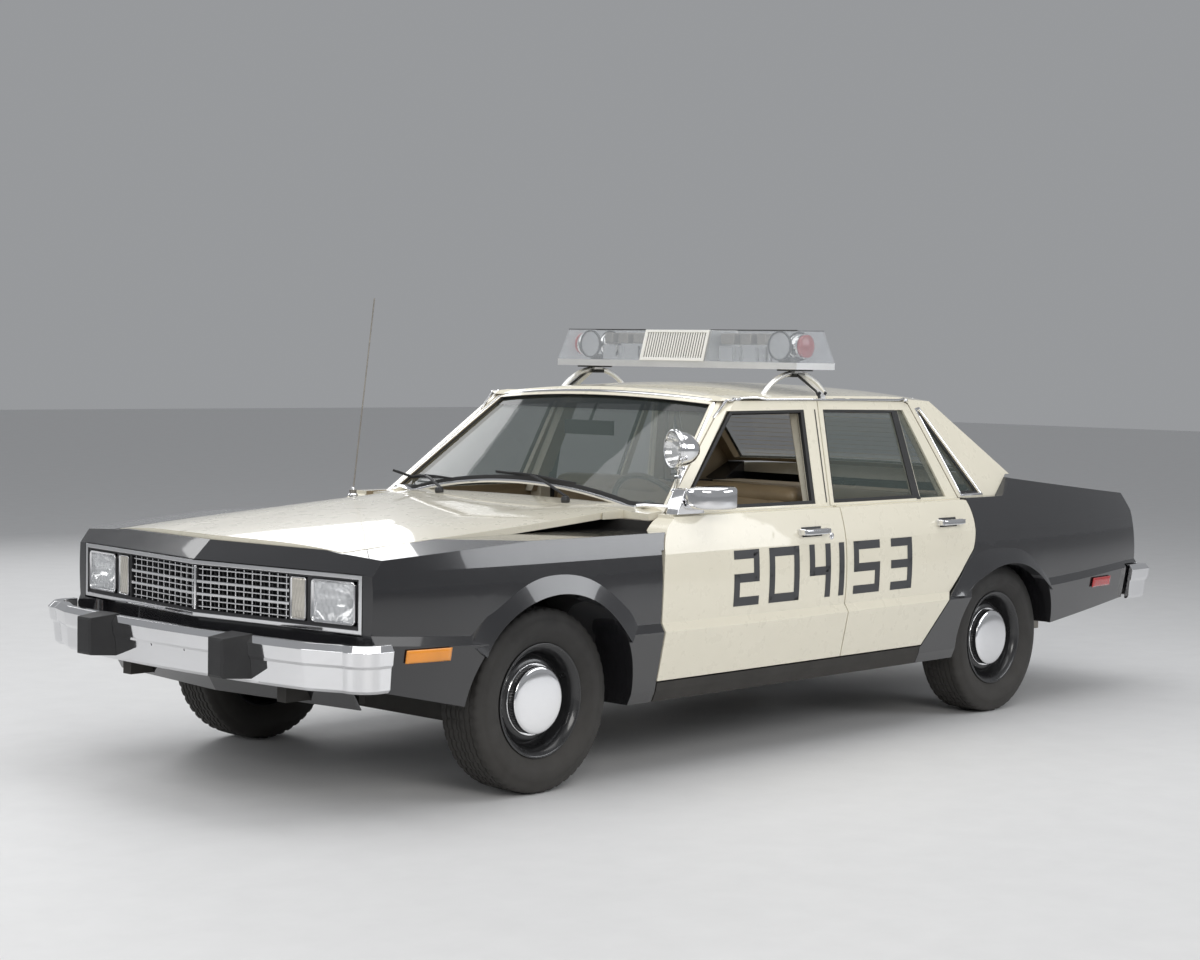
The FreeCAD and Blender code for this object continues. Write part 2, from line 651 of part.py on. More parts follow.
feature("head_lamps", both_sides(v_band(526, 712, 606, 742, -10, 62)))
marker = block(1912, 2081, 780, 1000, 487, 535).common(side_solid(-5)).cut([SIDE, wing])
rear_marker = block(-2055, -1881, 780, 1000, 480, 528).common(side_solid(-5)).cut(SIDE)
park_lamp = v_band(436, 502, 606, 742, -12, 50)
feature("turn_lamps", both_sides(Part.makeCompound([park_lamp, marker])))

# ---------------------------------------------------------------- quarter panels, tail, boot lid
TAIL_OUTLINE = [(-2206, 1000), (-2224, 884), (-2290, 803), (-2338, 574), (-2338, 420), (-2700, 420),
                (-2700, 1000)]
TAIL_CUT = side_prism(TAIL_OUTLINE, -1000, 1000)
quarter_side = [(-603, 262), (-603, 905), *BELT_LINE, (-2400, 988), (-2400, 430), (-2165, 413), (-1560, 350),
                (-1560, 262)]
QUARTER_INNER_Y = 648.0
DECK_LID_Y = 744.0
bumper_low, bumper_high = size("bumper_bottom"), size("bumper_bottom") + size("bumper_height")
quarter = SIDE.fuse(flare(REAR_FLARE)).common(side_prism(quarter_side, QUARTER_INNER_Y, 1000))
quarter = quarter.common(DECK_TOP).cut(TAIL_CUT)
LID_LIP_Z = 806.0
lid_zone = block(-2600, -1330, 0, DECK_LID_Y + GAP, 850, 1100)
lid_zone = lid_zone.fuse(block(-2600, -2190, 0, DECK_LID_Y + GAP, LID_LIP_Z - GAP, 1100))
well = Part.makeCylinder(352, 838 - 600, Vector(REAR_X, 600, HUB_Z), Vector(0, 1, 0))
behind_bumper = block(-2500, -2214, 780, 1000, 380, bumper_high + 6)
behind_bumper = behind_bumper.fuse(block(-2500, -2310, QUARTER_INNER_Y, 1000, 380, bumper_high + 6))
quarter = quarter.cut([REAR_DOOR_GAP, side_prism(REAR_ARCH, 500, 1000), well, lid_zone, behind_bumper])

LID_FRONT_X, LID_REAR_X = -1440.0, -2224.0
lid_block = block(LID_REAR_X, LID_FRONT_X, -DECK_LID_Y, DECK_LID_Y, 800, 1100)
lid = DECK_TOP.cut(deck_solid(HOOD_THICK)).common(lid_block)
lip = side_prism([(-2224, 884), (-2288, LID_LIP_Z), (-2266, LID_LIP_Z), (-2202, 880)],
                 -DECK_LID_Y, DECK_LID_Y)
feature("boot_lid", lid.fuse(lip.common(DECK_TOP)).cut(TAIL_CUT).removeSplitter())
deck_panel = DECK_TOP.common(block(LID_FRONT_X + GAP, -1240, -DECK_LID_Y - GAP, DECK_LID_Y + GAP, 930, 1100))
over_deck = side_prism([(-1198, 905), (-1324, 988), (-1100, 1100)], -1000, 1000)
deck_panel = deck_panel.cut([cabin_shell(0), over_deck])
feature("rear_deck_panel", deck_panel)

tail_solid = block(-2400, -2150, -QUARTER_INNER_Y, QUARTER_INNER_Y, 430, LID_LIP_Z - GAP).cut(TAIL_CUT)
tail = tail_solid.cut(block(-2260, -2100, -QUARTER_INNER_Y, QUARTER_INNER_Y, 420, 900))
PLATE_HALF, PLATE_Z, FRONT_PLATE_Z, PLATE_HOLE = 89.0, 690.0, 485.0, 3.5


def plate_holes(x, z):
    ahead = Vector(1, 0, 0)
    return [Part.makeCylinder(PLATE_HOLE, 400, Vector(x, y, z), ahead) for y in (-PLATE_HALF, PLATE_HALF)]


tail = tail.cut(plate_holes(-2500, PLATE_Z))
feature("quarter_panels", tail.fuse([quarter, mirror(quarter)]).removeSplitter())
TAIL_LAMP_Y = 300.0
lamp = side_prism([(-2320, 775), (-2352, 605), (-2334, 601), (-2298, 771)], TAIL_LAMP_Y,
                  TAIL_LAMP_Y + size("tail_lamp_length"))
feature("tail_lamps", both_sides(Part.makeCompound([lamp.cut(tail_solid), rear_marker])))

# ---------------------------------------------------------------- bumpers
BUMPER_PROFILE = (
    # height from the bottom edge, distance behind the foremost line
    (0, 26),
    (10, 17),
    (78, 12),
    (88, 5),
    (130, 0),
    (150, 14),
)


BUMPER_DEPTH = 38.0


def bumper(front, corner_x, wrap_x, half, corner):
    """A bowed bar with a step along its face, hollow behind, that wraps round the corners."""
    def wire(z, inset):
        side, end, face = half - inset, corner_x - inset, front - inset
        turn_x, turn_y = end - 0.2 * corner, side - 0.29 * corner
        quarter_bow = face - (face - end) * 0.48
        points = [(wrap_x, -side), (end - corner, -side), ("arc", (turn_x, -turn_y)), (end, corner - side),
                  (quarter_bow, -640), ("arc", (face, 0)), (quarter_bow, 640), (end, side - corner),
                  ("arc", (turn_x, turn_y)), (end - corner, side), (wrap_x, side)]
        return wire_of(on_plane(points, lambda x, y: (x, y, z)))

    outer = Part.makeLoft([wire(bumper_low + up, inset) for up, inset in BUMPER_PROFILE], True, True)
    inner = Part.Face(wire(bumper_low - 10, BUMPER_DEPTH)).extrude(Vector(0, 0, size("bumper_height") + 20))
    return outer.cut(inner)


iron = block(2240, 2352, RAIL_Y0, RAIL_Y1, bumper_low + 4, 520)
front_bumper = bumper(2390, 2296, 2165, 866, 90).cut(plate_holes(2200, FRONT_PLATE_Z))
front_bumper = front_bumper.fuse([iron, mirror(iron)]).removeSplitter()
feature("front_bumper", front_bumper)
rear_bumper = bumper(2436, 2404, 2230, 868, 40).mirror(Vector(0, 0, 0), Vector(1, 0, 0))
iron = block(-2396, -2338, 480, 525, 440, 520)
rear_bumper = rear_bumper.fuse([iron, mirror(iron)]).removeSplitter()
feature("rear_bumper", rear_bumper)


def guard(root_x, face_x):
    """An upright rubber-faced block on a bumper, on the left, narrower and lower at its face."""
    def wire(x, y0, y1, z0, z1):
        return wire_of([(x, y0, z0), (x, y1, z0), (x, y1, z1), (x, y0, z1)])

    step = 6 if face_x > root_x else -6
    return Part.makeLoft([wire(root_x, 304, 410, 424, 566), wire(face_x - step, 318, 396, 432, 556),
                          wire(face_x, 326, 388, 440, 548)], True, True)


guards = [guard(2352, 2460).cut(front_bumper), guard(-2392, -2461).cut(rear_bumper)]
guards = [max(item.Solids, key=lambda solid: solid.Volume) for item in guards]
feature("bumper_guards", Part.makeCompound(guards + [mirror(item) for item in guards]))

# ---------------------------------------------------------------- floor, walls, wheelhouses and rails
TUNNEL_HALF, TUNNEL_TOP, SHEET = 150.0, 420.0, 18.0
tunnel_room = block(-1100, 920, SHEET - TUNNEL_HALF, TUNNEL_HALF - SHEET, 200, TUNNEL_TOP - 16)
TUNNEL = block(-1050, 898, -TUNNEL_HALF, TUNNEL_HALF, 262, TUNNEL_TOP)
floor = block(-603, 898, -745, 745, 262, 290).fuse([TUNNEL, block(-1050, -603, -600, 600, 262, 290)])
floor_side = block(-850, -603, 600, QUARTER_INNER_Y - 2, 262, 290)
firewall = block(880, 898, -766, 766, 262, COWL_BOTTOM)
seat_riser = block(-1050, -1030, -600, 600, 290, 424)
pan = floor.fuse([firewall, seat_riser, SILL, mirror(SILL), floor_side, mirror(floor_side)])
pan = pan.cut(tunnel_room).removeSplitter()
feature("floor_pan", pan)

boot_base = block(-2260, -1050, -600, 600, 424, 440)
bulkhead = block(-1130, -1112, -600, 600, 440, 880).fuse(block(-1130, -1112, -640, 640, 704, 880))
shelf = block(-1290, -1100, -640, 640, 880, 892)
wheelhouse = block(REAR_X - 372, REAR_X + 372, 600, 612, 424, 700)
wheelhouse = wheelhouse.fuse(block(REAR_X - 372, REAR_X + 372, 600, QUARTER_INNER_Y, 690, 704))
side_base = block(-2260, -1610, 600, QUARTER_INNER_Y, 424, 440)
rear_rail = block(-2260, -1050, 480, 530, 380, 424)
left_rear = [wheelhouse, side_base, rear_rail]
boot_base = boot_base.fuse([bulkhead, shelf] + left_rear + [mirror(item) for item in left_rear])
feature("boot_floor", boot_base.cut(tunnel_room).removeSplitter())

front_rail = block(898, 2240, RAIL_Y0, RAIL_Y1, RAIL_BOTTOM, RAIL_TOP)
apron = block(898, 2085, 440, 452, 360, 700).fuse(block(898, 2085, 440, WING_INNER_Y, 688, 700))
radiator_wall = block(2060, 2085, -WING_INNER_Y, WING_INNER_Y, RAIL_BOTTOM, TOP + 3)
radiator_room = block(2000, 2100, -300, 300, 420, 720)
left_front = [front_rail, apron]
structure = radiator_wall.cut(radiator_room).fuse(left_front + [mirror(item) for item in left_front])
feature("front_structure", structure.removeSplitter())
radiator = primitive("Part::Box", "radiator", (2062, -300, 420), Length=21, Width=600, Height=300)
keep(radiator, "radiator")

# ---------------------------------------------------------------- running gear
half_rear = size("rear_track") / 2
kingpin_y = size("kingpin_y")
PIN_R, SPINDLE_R = size("kingpin_radius"), size("spindle_radius")
SPINDLE_REACH, RUNNING_GAP = 8.0, 0.4


def revolved(points, centre):
    """Turns an outline of (y, radius) points about the wheel's axle."""
    wire = wire_of(on_plane(points, lambda y, r: (centre.x, centre.y + y, centre.z + r)))
    return Part.Face(wire).revolve(centre, Vector(0, 1, 0), 360)


def y_cylinder(radius, y0, y1, x, z=HUB_Z):
    return Part.makeCylinder(radius, y1 - y0, Vector(x, y0, z), Vector(0, 1, 0))


ARM_TIP, ARM_NECK, ARM_PAST_PIN, ARM_TAPER = 13.0, 24.0, 12.0, 30.0


def arm(back, ahead, inner_y, z0, z1):
    """A wishbone that narrows to the steering pin, so that the brake disc clears it on full lock."""
    return plan_prism([(FRONT_X - back, inner_y), (FRONT_X - ARM_NECK, kingpin_y - ARM_TAPER),
                       (FRONT_X - ARM_TIP, kingpin_y + ARM_PAST_PIN),
                       (FRONT_X + ARM_TIP, kingpin_y + ARM_PAST_PIN),
                       (FRONT_X + ARM_NECK, kingpin_y - ARM_TAPER), (FRONT_X + ahead, inner_y)], z0, z1)


lower_arm = arm(120, 60, 400, 200, 220)
upper_arm = arm(90, 90, 436, 400, 414)
kingpin = Part.makeCylinder(PIN_R, 200, Vector(FRONT_X, kingpin_y, 208))
crossmember = block(FRONT_X - 90, FRONT_X + 60, -420, 420, 200, 290)
hanger = block(FRONT_X - 60, FRONT_X + 40, 398, 430, 280, RAIL_BOTTOM)
left_arms = [lower_arm, upper_arm, kingpin, hanger]
suspension = crossmember.fuse(left_arms + [mirror(item) for item in left_arms]).removeSplitter()
feature("front_suspension", suspension.cut(structure))

ACROSS = Rotation(Vector(1, 0, 0), -90)
knuckle_block = primitive("Part::Box", "knuckle_block", (("front_axle_x", 1, -34), ("kingpin_y", 1, -24), 230),
                          Length=68, Width=48, Height=164)
spindle = primitive("Part::Cylinder", "spindle", ("front_axle_x", "kingpin_y", "tyre_radius"), ACROSS,
                    Radius=("spindle_radius", 1, 0), Height=("front_track", 0.5, SPINDLE_REACH - kingpin_y))
brake_disc = primitive("Part::Cylinder", "brake_disc", ("front_axle_x", ("kingpin_y", 1, 24), "tyre_radius"), ACROSS,
                       Radius=128, Height=10)
pin_bore = primitive("Part::Cylinder", "pin_bore", ("front_axle_x", "kingpin_y", 150),
                     Radius=("kingpin_radius", 1, RUNNING_GAP), Height=300)
knuckle = cut_away("knuckle_left", joined("knuckle_parts", knuckle_block, spindle, brake_disc), pin_bore)
keep(knuckle, "knuckle_left")
knuckle_right = doc.addObject("Part::Mirroring", "knuckle_right")
knuckle_right.Source = knuckle
knuckle_right.Normal = (0, 1, 0)
keep(knuckle_right, "knuckle_right")

axle = y_cylinder(38, -640, 640, REAR_X)
housing = revolved([(-120, 0), (-120, 40), (-62, 104), (62, 104), (120, 40), (120, 0)],
                   Vector(REAR_X, 0, HUB_Z))
spindles = y_cylinder(SPINDLE_R, -half_rear - SPINDLE_REACH, half_rear + SPINDLE_REACH, REAR_X)
axle = axle.fuse([housing, spindles])
drum = y_cylinder(128, 636, 690, REAR_X)
leaf = side_prism([(-640, 262), (REAR_X, 262), (-1900, 372), (-1900, 352), (REAR_X, 238), (-640, 240)],
                  480, 530)
spring_pad = block(REAR_X - 40, REAR_X + 40, 485, 525, 250, 300)
shackle = block(-1905, -1870, 488, 522, 350, 380)
axle_left = [drum, leaf, spring_pad, shackle]
shaft = Part.makeCylinder(35, 1730, Vector(REAR_X, 0, HUB_Z), Vector(1730, 0, 20))
axle = axle.fuse(axle_left + [mirror(item) for item in axle_left]).fuse(shaft).removeSplitter()
feature("rear_axle", axle)

WHEEL_SECTION = [
    # distance outward from the wheel's middle, radius
    (14, 0), (14, ("spindle_radius", 1, RUNNING_GAP)), (-8, ("spindle_radius", 1, RUNNING_GAP)), (-8, 60),
    (4, 66), (22, 112), (14, 144), (2, 157), (-30, 157), (("rim_width", -0.5, 12), 172), (("rim_width", -0.5, 1), 184),
    (("rim_width", -0.5, 0), "rim_radius"), (("rim_width", -0.5, 9), "rim_radius"), (("rim_width", -0.5, 15), 178),
    (-40, 178), (-26, 166), (26, 166), (40, 178), (("rim_width", 0.5, -15), 178),
    (("rim_width", 0.5, -9), "rim_radius"), (("rim_width", 0.5, 0), "rim_radius"), (("rim_width", 0.5, -1), 184),
    (("rim_width", 0.5, -12), 172), (30, 157), (14, 157), (28, 144), (34, ("cap_radius", 1, 9)),
    (38, ("cap_radius", 1, 9)), (38, "cap_radius"), (61, "cap_radius"), (66, ("cap_radius", 1, -5)), (70, 70),
    (72, 0),
]
# Half a tyre's section, from the tread's edge to the bead and the bore.
TYRE_SECTION = [
    # from the middle, radius
    (("tyre_width", 0.5, -34), ("tyre_radius", 1, 0)),
    (("tyre_width", 0.5, -13), ("tyre_radius", 1, -13)),
    (("tyre_width", 0.5, 0), ("tyre_radius", 1, -58)),
    (("tyre_width", 0.5, -7), ("tyre_radius", 1, -92)),
    (("tyre_width", 0.5, -35), ("tyre_radius", 1, -116)),
    (("tyre_width", 0.5, -35), ("tyre_radius", 1, -131)),
]
TYRE_SIDES = 60


def tyre_of_flats(name, half_section, hub):
    """A tyre of flat four-cornered faces, alike on both sides, that stands on one of its flats."""
    to_corner = 1 / math.cos(math.pi / TYRE_SIDES)
    half = [(term_value(along), term_value(radius) * to_corner) for along, radius in half_section]
    section = half + [(-along, radius) for along, radius in reversed(half)]
    centre = Vector(*(term_value(term) for term in hub))
    turns = [2 * math.pi * (number + 0.5) / TYRE_SIDES for number in range(TYRE_SIDES)]
    hoops = [[centre + Vector(radius * math.sin(turn), along, -radius * math.cos(turn)) for turn in turns]
             for along, radius in section]
    faces = []
    for row, hoop in enumerate(hoops):
        other = hoops[(row + 1) % len(hoops)]
        for number in range(TYRE_SIDES):
            after = (number + 1) % TYRE_SIDES
            corners = [hoop[number], hoop[after], other[after], other[number]]
            faces.append(Part.Face(Part.makePolygon(corners + corners[:1])))
    solid = Part.Solid(Part.Shell(faces))
    if solid.Volume < 0:
        solid.reverse()
    return feature(name, solid)


for end, track, offset in (("front", "front_track", 0.0), ("rear", "rear_track", -WHEELBASE)):
    for side, sign in (("left", 1), ("right", -1)):
        hub = (("front_axle_x", 1, offset), (track, 0.5 * sign, 0), ("tyre_radius", 1, 0))
        place = f"{end}_{side}"
        keep(turned_body(f"wheel_{place}", WHEEL_SECTION, hub, sign < 0), f"wheel_{place}")
        tyre_of_flats(f"tyre_{place}", TYRE_SECTION, hub)

block_box = primitive("Part::Box", "block_box", (1180, ("engine_width", -0.5, 0), 300), Length="engine_length",
                      Width="engine_width", Height="engine_height")
gearbox = primitive("Part::Box", "gearbox", (520, -110, 300), Length=660, Width=220, Height=95)
keep(joined("engine", block_box, gearbox), "engine")
tank = primitive("Part::Box", "fuel_tank", (-2130, ("tank_width", -0.5, 0), 248), Length="tank_length",
                 Width="tank_width", Height="tank_height")
keep(tank, "fuel_tank")
exhaust = tube([(1150, -200, 240), (500, -220, 215), (-900, -240, 215), (-1700, -560, 250),
                (-2380, -560, 300)], 24)
muffler = block(-420, 120, -330, -170, 180, 256)
feature("exhaust", exhaust.fuse(muffler).removeSplitter())

# ---------------------------------------------------------------- cabin fittings
dash = padded_body("dashboard", [(876, 878), (700, 872), (646, 820), (668, 640), (876, 640)], 1400)
keep(dash, "dashboard")
TILT = math.radians(size("steering_tilt") - 40)
column_axis = Vector(-math.cos(TILT), 0, math.sin(TILT))
wheel_centre = Vector(452, 380, 855)
column = doc.addObject("Part::Cylinder", "column_tube")
column.Radius, column.Height = 26, 250
column.Placement = Placement(wheel_centre - column_axis * 280, Rotation(Vector(0, 0, 1), column_axis))
keep(cut_away("steering_column", column, dash), "steering_column")
steering_rim = primitive("Part::Torus", "steering_rim", Radius1=("steering_wheel_radius", 1, -11), Radius2=11)
spokes = primitive("Part::Box", "spokes", (("steering_wheel_radius", -1, 8), -20, -8),
                   Length=("steering_wheel_radius", 2, -16), Width=40, Height=10)
steering_hub = primitive("Part::Cylinder", "steering_hub", (0, 0, -14), Radius=52, Height=30)
steering_wheel = joined("steering_wheel", steering_rim, spokes, steering_hub)
turn = Rotation(Vector(0, 0, 1), column_axis)
steering_wheel.Placement = Placement(wheel_centre, turn.multiply(Rotation(Vector(0, 0, 1), 90)))
keep(steering_wheel, "steering_wheel")

tunnel_box = primitive("Part::Box", "tunnel_clearance", (-1100, -TUNNEL_HALF - 2, 200), Length=1990,
                       Width=2 * TUNNEL_HALF + 4, Height=TUNNEL_TOP - 198)
front_bench = padded_body("front_bench", [(-60, 291), (440, 291), (460, 340), (480, 470), (440, 500), (60, 470),
                                          (-60, 940), (-130, 960), (-170, 930), (-90, 420)], ("seat_width", 1, 0))
keep(cut_away("front_seat", front_bench, tunnel_box), "front_seat")
rear_bench = padded_body("rear_bench", [(-1026, 291), (-460, 291), (-420, 440), (-460, 480), (-820, 450),
                                        (-960, 900), (-1020, 915), (-1080, 870), (-1026, 600)], 1180)
keep(cut_away("rear_seat", rear_bench, tunnel_box), "rear_seat")

# ---------------------------------------------------------------- roof light bar
bar_x, bar_half, bar_d = size("bar_centre_x"), size("bar_length") / 2, size("bar_depth") / 2
bar_bottom, bar_top = size("bar_base_bottom"), size("bar_top")
base_z = bar_bottom + size("bar_base_height")
END_LEAN, SIDE_LEAN, LENS_WALL, SPEAKER_HALF = 28.0, 38.0, 4.0, 170.0
bar_base = block(bar_x - bar_d, bar_x + bar_d, -bar_half, bar_half, bar_bottom, base_z)


def rect_wire(x0, x1, y0, y1, z):
    return wire_of([(x0, y0, z), (x1, y0, z), (x1, y1, z), (x0, y1, z)])


def lens_block(y0, y1, inset, low, high):
    """A block whose front, back and outer end lean inwards."""
    share = (high - base_z) / (bar_top - base_z)
    reach = bar_d - inset
    return Part.makeLoft([rect_wire(bar_x - reach, bar_x + reach, y0, y1, low),
                          rect_wire(bar_x - reach + SIDE_LEAN * share, bar_x + reach - SIDE_LEAN * share, y0,
                                    y1 - END_LEAN * share, high)], True, True)


FOOT_Y, FOOT_REACH, FOOT_TOP, FOOT_LOW = 535.0, 190.0, 1400.0, 1322.0
foot_radius = (FOOT_REACH ** 2 + (FOOT_TOP - FOOT_LOW) ** 2) / (2 * (FOOT_TOP - FOOT_LOW))
arch = Part.makeTorus(foot_radius, 10, Vector(bar_x, FOOT_Y, FOOT_TOP - foot_radius), Vector(0, 1, 0))
arch = arch.common(block(bar_x - 220, bar_x + 220, 400, 700, 1290, 1420))
clamp = block(bar_x - 24, bar_x + 24, FOOT_Y - 22, FOOT_Y + 22, FOOT_TOP - 16, bar_bottom)
strap = front_prism([(FOOT_Y + 10, 1402), (560, 1402), (668, 1324), (676, 1312), (676, 1304), (668, 1304),
                     (660, 1316), (556, 1388), (FOOT_Y + 10, 1388)], bar_x - 14, bar_x + 14)
foot = arch.fuse([clamp, strap]).cut([CABIN_OUTER, roof])
foot = max(foot.Solids, key=lambda solid: solid.Volume)
speaker = Part.makeLoft([rect_wire(bar_x - bar_d + 2, bar_x + bar_d - 2, -SPEAKER_HALF, SPEAKER_HALF, base_z),
                         rect_wire(bar_x - bar_d + SIDE_LEAN, bar_x + bar_d - SIDE_LEAN, -SPEAKER_HALF,
                                   SPEAKER_HALF, bar_top - 3)], True, True)
feature("light_bar_base", bar_base.fuse([speaker, foot, mirror(foot)]).removeSplitter())
lens_room = lens_block(SPEAKER_HALF + 6, bar_half - LENS_WALL, LENS_WALL, base_z - 1, bar_top - 5)
lens = lens_block(SPEAKER_HALF + 2, bar_half, 0, base_z, bar_top).cut(lens_room)
feature("light_bar_lens", both_sides(lens))
lamps = [Part.makeCylinder(44, 86, Vector(bar_x, y, base_z)) for y in (270, 400, 560)]
feature("light_bar_lamps", both_sides(Part.makeCompound(lamps)))

# ---------------------------------------------------------------- small outside fittings
SPOT_CENTRE, SPOT_RADIUS, SPOT_TURN = Vector(735, 722, 1127), 70.0, -23.0
spot_section = [(0, 0), (0, SPOT_RADIUS - 3), (-4, SPOT_RADIUS), (-16, SPOT_RADIUS), (-22, SPOT_RADIUS - 5),
                ("arc", (-80, SPOT_RADIUS - 28)), (-104, 0)]
spot_place = SPOT_CENTRE.x, SPOT_CENTRE.y, SPOT_CENTRE.z
spot_wire = wire_of(on_plane(spot_section, lambda x, r: (spot_place[0] + x, spot_place[1], spot_place[2] + r)))
bowl = Part.Face(spot_wire).revolve(SPOT_CENTRE, Vector(1, 0, 0), 360)
bowl.rotate(SPOT_CENTRE, Vector(0, 0, 1), SPOT_TURN)
stem_top, stem_foot = Vector(700, 735, 1075), Vector(680, 690, 960)
stem = Part.makeCylinder(9, (stem_foot - stem_top).Length, stem_top, stem_foot - stem_top)
collar = Part.makeCylinder(15, 26, stem_top - Vector(0, 0, 22))
spot = bowl.fuse([stem, collar]).cut([CABIN_OUTER, front_door, cowl, wing]).removeSplitter()
feature("spot_lamp", max(spot.Solids, key=lambda solid: solid.Volume))

antenna_base = primitive("Part::Cylinder", "antenna_base", (995, -700, 890), Radius=14, Height=28)
whip = primitive("Part::Cylinder", "whip", (995, -700, 910), Rotation(Vector(0, 0, 1), Vector(-100, 0, 760)),
                 Radius=2.5, Height=("antenna_height", 1, 0))
right_wing = doc.addObject("Part::Feature", "wing_clearance")
right_wing.Shape = mirror(wing)
keep(cut_away("antenna", joined("antenna_parts", antenna_base, whip), right_wing), "antenna")

wipers = []
for y in (-340, 330):
    arm = Part.makeCylinder(6, 420, Vector(888, y, 940), Vector(-14, -400, 26))
    pivot = Part.makeCylinder(12, 26, Vector(888, y, 918))
    wipers.append(arm.fuse(pivot).cut([CABIN_OUTER, cowl, hood_zone]).removeSplitter())
feature("wipers", Part.makeCompound([max(item.Solids, key=lambda solid: solid.Volume) for item in wipers]))
glass_stem = Part.makeCylinder(6, 140, Vector(405, 0, 1190), Vector(-60, 0, 110))
inside_mirror = block(395, 410, -125, 125, 1150, 1205).fuse(glass_stem).cut([roof, windshield])
feature("interior_mirror", max(inside_mirror.Solids, key=lambda solid: solid.Volume))

HEAD_OUTLINE = [(800, 852), ("arc", (786, 906)), (742, 944), (700, 955), (648, 955), (648, 852)]
mirror_head = plan_prism(HEAD_OUTLINE, 922, 1004)
mirror_sail = side_prism([(850, 907), (706, 907), (706, 960), (770, 996), (790, 990)], 800, 856)
door_mirror = mirror_head.fuse(mirror_sail).cut([front_door, CABIN_OUTER])
door_mirror = max(door_mirror.Solids, key=lambda solid: solid.Volume)
feature("door_mirror", door_mirror)


def handle(x0, x1, z, door_shape):
    grip = block(x0, x1, 850, 912, z - 14, z + 14).cut(block(x0 + 28, x1 - 28, 850, 898, z - 20, z + 20))
    return main_solids(grip.cut(door_shape).removeSplitter(), 500)


front_handle = handle(40, 202, 819, front_door)
rear_handle = handle(-842, -680, 818, rear_door)

for side, place in (("left", lambda shape: shape), ("right", mirror)):
    feature(f"door_front_{side}", place(front_door))
    feature(f"door_rear_{side}", place(rear_door))
    feature(f"door_glass_rear_{side}", place(rear_glass))
    feature(f"door_handle_front_{side}", place(front_handle))
    feature(f"door_handle_rear_{side}", place(rear_handle))
feature("door_glass_front_right", mirror(front_glass))

# ---------------------------------------------------------------- checks and export
doc.recompute()
for item in doc.Objects:
    if any(state in ("Invalid", "Error") for state in item.State):
        raise RuntimeError(f"{item.Label} is {item.State}")
if len(SUBPARTS) > 60:
    raise RuntimeError(f"{len(SUBPARTS)} sub-parts")
for item in SUBPARTS:
    if item.Shape.isNull() or not item.Shape.isValid() or not item.Shape.Solids:
        raise RuntimeError(f"{item.Label} has no valid shape")
for item in SUBPARTS:
    item.Shape.exportStep(f"parts/{item.Label}.step")
    box = item.Shape.BoundBox
    print(item.Label, len(item.Shape.Solids), round(item.Shape.Volume / 1e6, 2),
          [round(v) for v in (box.XMin, box.XMax, box.YMin, box.YMax, box.ZMin, box.ZMax)])
print(len(SUBPARTS), "sub-parts")
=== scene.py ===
import bpy, bmesh, math
from mathutils import Matrix, Vector
from mathutils.bvhtree import BVHTree


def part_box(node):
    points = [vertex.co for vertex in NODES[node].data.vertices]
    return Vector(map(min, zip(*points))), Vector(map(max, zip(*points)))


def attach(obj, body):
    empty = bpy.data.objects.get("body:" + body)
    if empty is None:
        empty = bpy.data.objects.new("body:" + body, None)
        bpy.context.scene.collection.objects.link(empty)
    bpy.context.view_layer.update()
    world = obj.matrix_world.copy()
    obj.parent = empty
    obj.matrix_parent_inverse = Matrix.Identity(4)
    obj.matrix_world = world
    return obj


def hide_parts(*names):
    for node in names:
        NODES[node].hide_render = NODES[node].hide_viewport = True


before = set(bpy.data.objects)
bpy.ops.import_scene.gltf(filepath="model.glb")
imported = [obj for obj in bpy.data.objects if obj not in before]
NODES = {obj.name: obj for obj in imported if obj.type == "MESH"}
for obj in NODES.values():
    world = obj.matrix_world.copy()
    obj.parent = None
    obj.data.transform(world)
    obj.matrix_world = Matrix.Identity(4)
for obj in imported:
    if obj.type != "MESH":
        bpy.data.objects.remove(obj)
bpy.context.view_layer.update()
SIDES = (("left", 1), ("right", -1))
ENDS = ("front", "rear")
MM = 0.001


# ------------------------------------------------------------------ camera and light
def look(yaw, pitch, roll):
    """How a camera turns: about the upright, up from level, and about the way it looks, in radians."""
    ahead = Vector((math.cos(yaw) * math.cos(pitch), math.sin(yaw) * math.cos(pitch), math.sin(pitch)))
    right = Vector((math.sin(yaw), -math.cos(yaw), 0))
    up = right.cross(ahead)
    turned = right * math.cos(roll) + up * math.sin(roll)
    top = up * math.cos(roll) - right * math.sin(roll)
    return Matrix((turned, top, -ahead)).transposed()


# the camera solved from the photograph: its lens in mm on a 36 mm sensor, its place, and how it looks
CAMERA_LENS = 67.66
CAMERA_PLACE = (6.73668, 5.99622, 1.44734)
CAMERA_YAW, CAMERA_PITCH, CAMERA_ROLL = -2.3888, -0.05423, 0.01698
cam_data = bpy.data.cameras.new("camera")
cam_data.lens, cam_data.sensor_width = CAMERA_LENS, 36
cam = bpy.data.objects.new("camera", cam_data)
bpy.context.scene.collection.objects.link(cam)
cam.matrix_world = Matrix.Translation(CAMERA_PLACE) @ look(CAMERA_YAW, CAMERA_PITCH, CAMERA_ROLL).to_4x4()
bpy.context.scene.camera = cam


def area_light(name, place, target, wide, high, power, colour=(1, 1, 1)):
    data = bpy.data.lights.new(name, "AREA")
    data.shape, data.size, data.size_y, data.energy, data.color = "RECTANGLE", wide, high, power, colour
    lamp = bpy.data.objects.new(name, data)
    bpy.context.scene.collection.objects.link(lamp)
    lamp.location = place
    lamp.rotation_euler = (Vector(target) - Vector(place)).to_track_quat("-Z", "Y").to_euler()


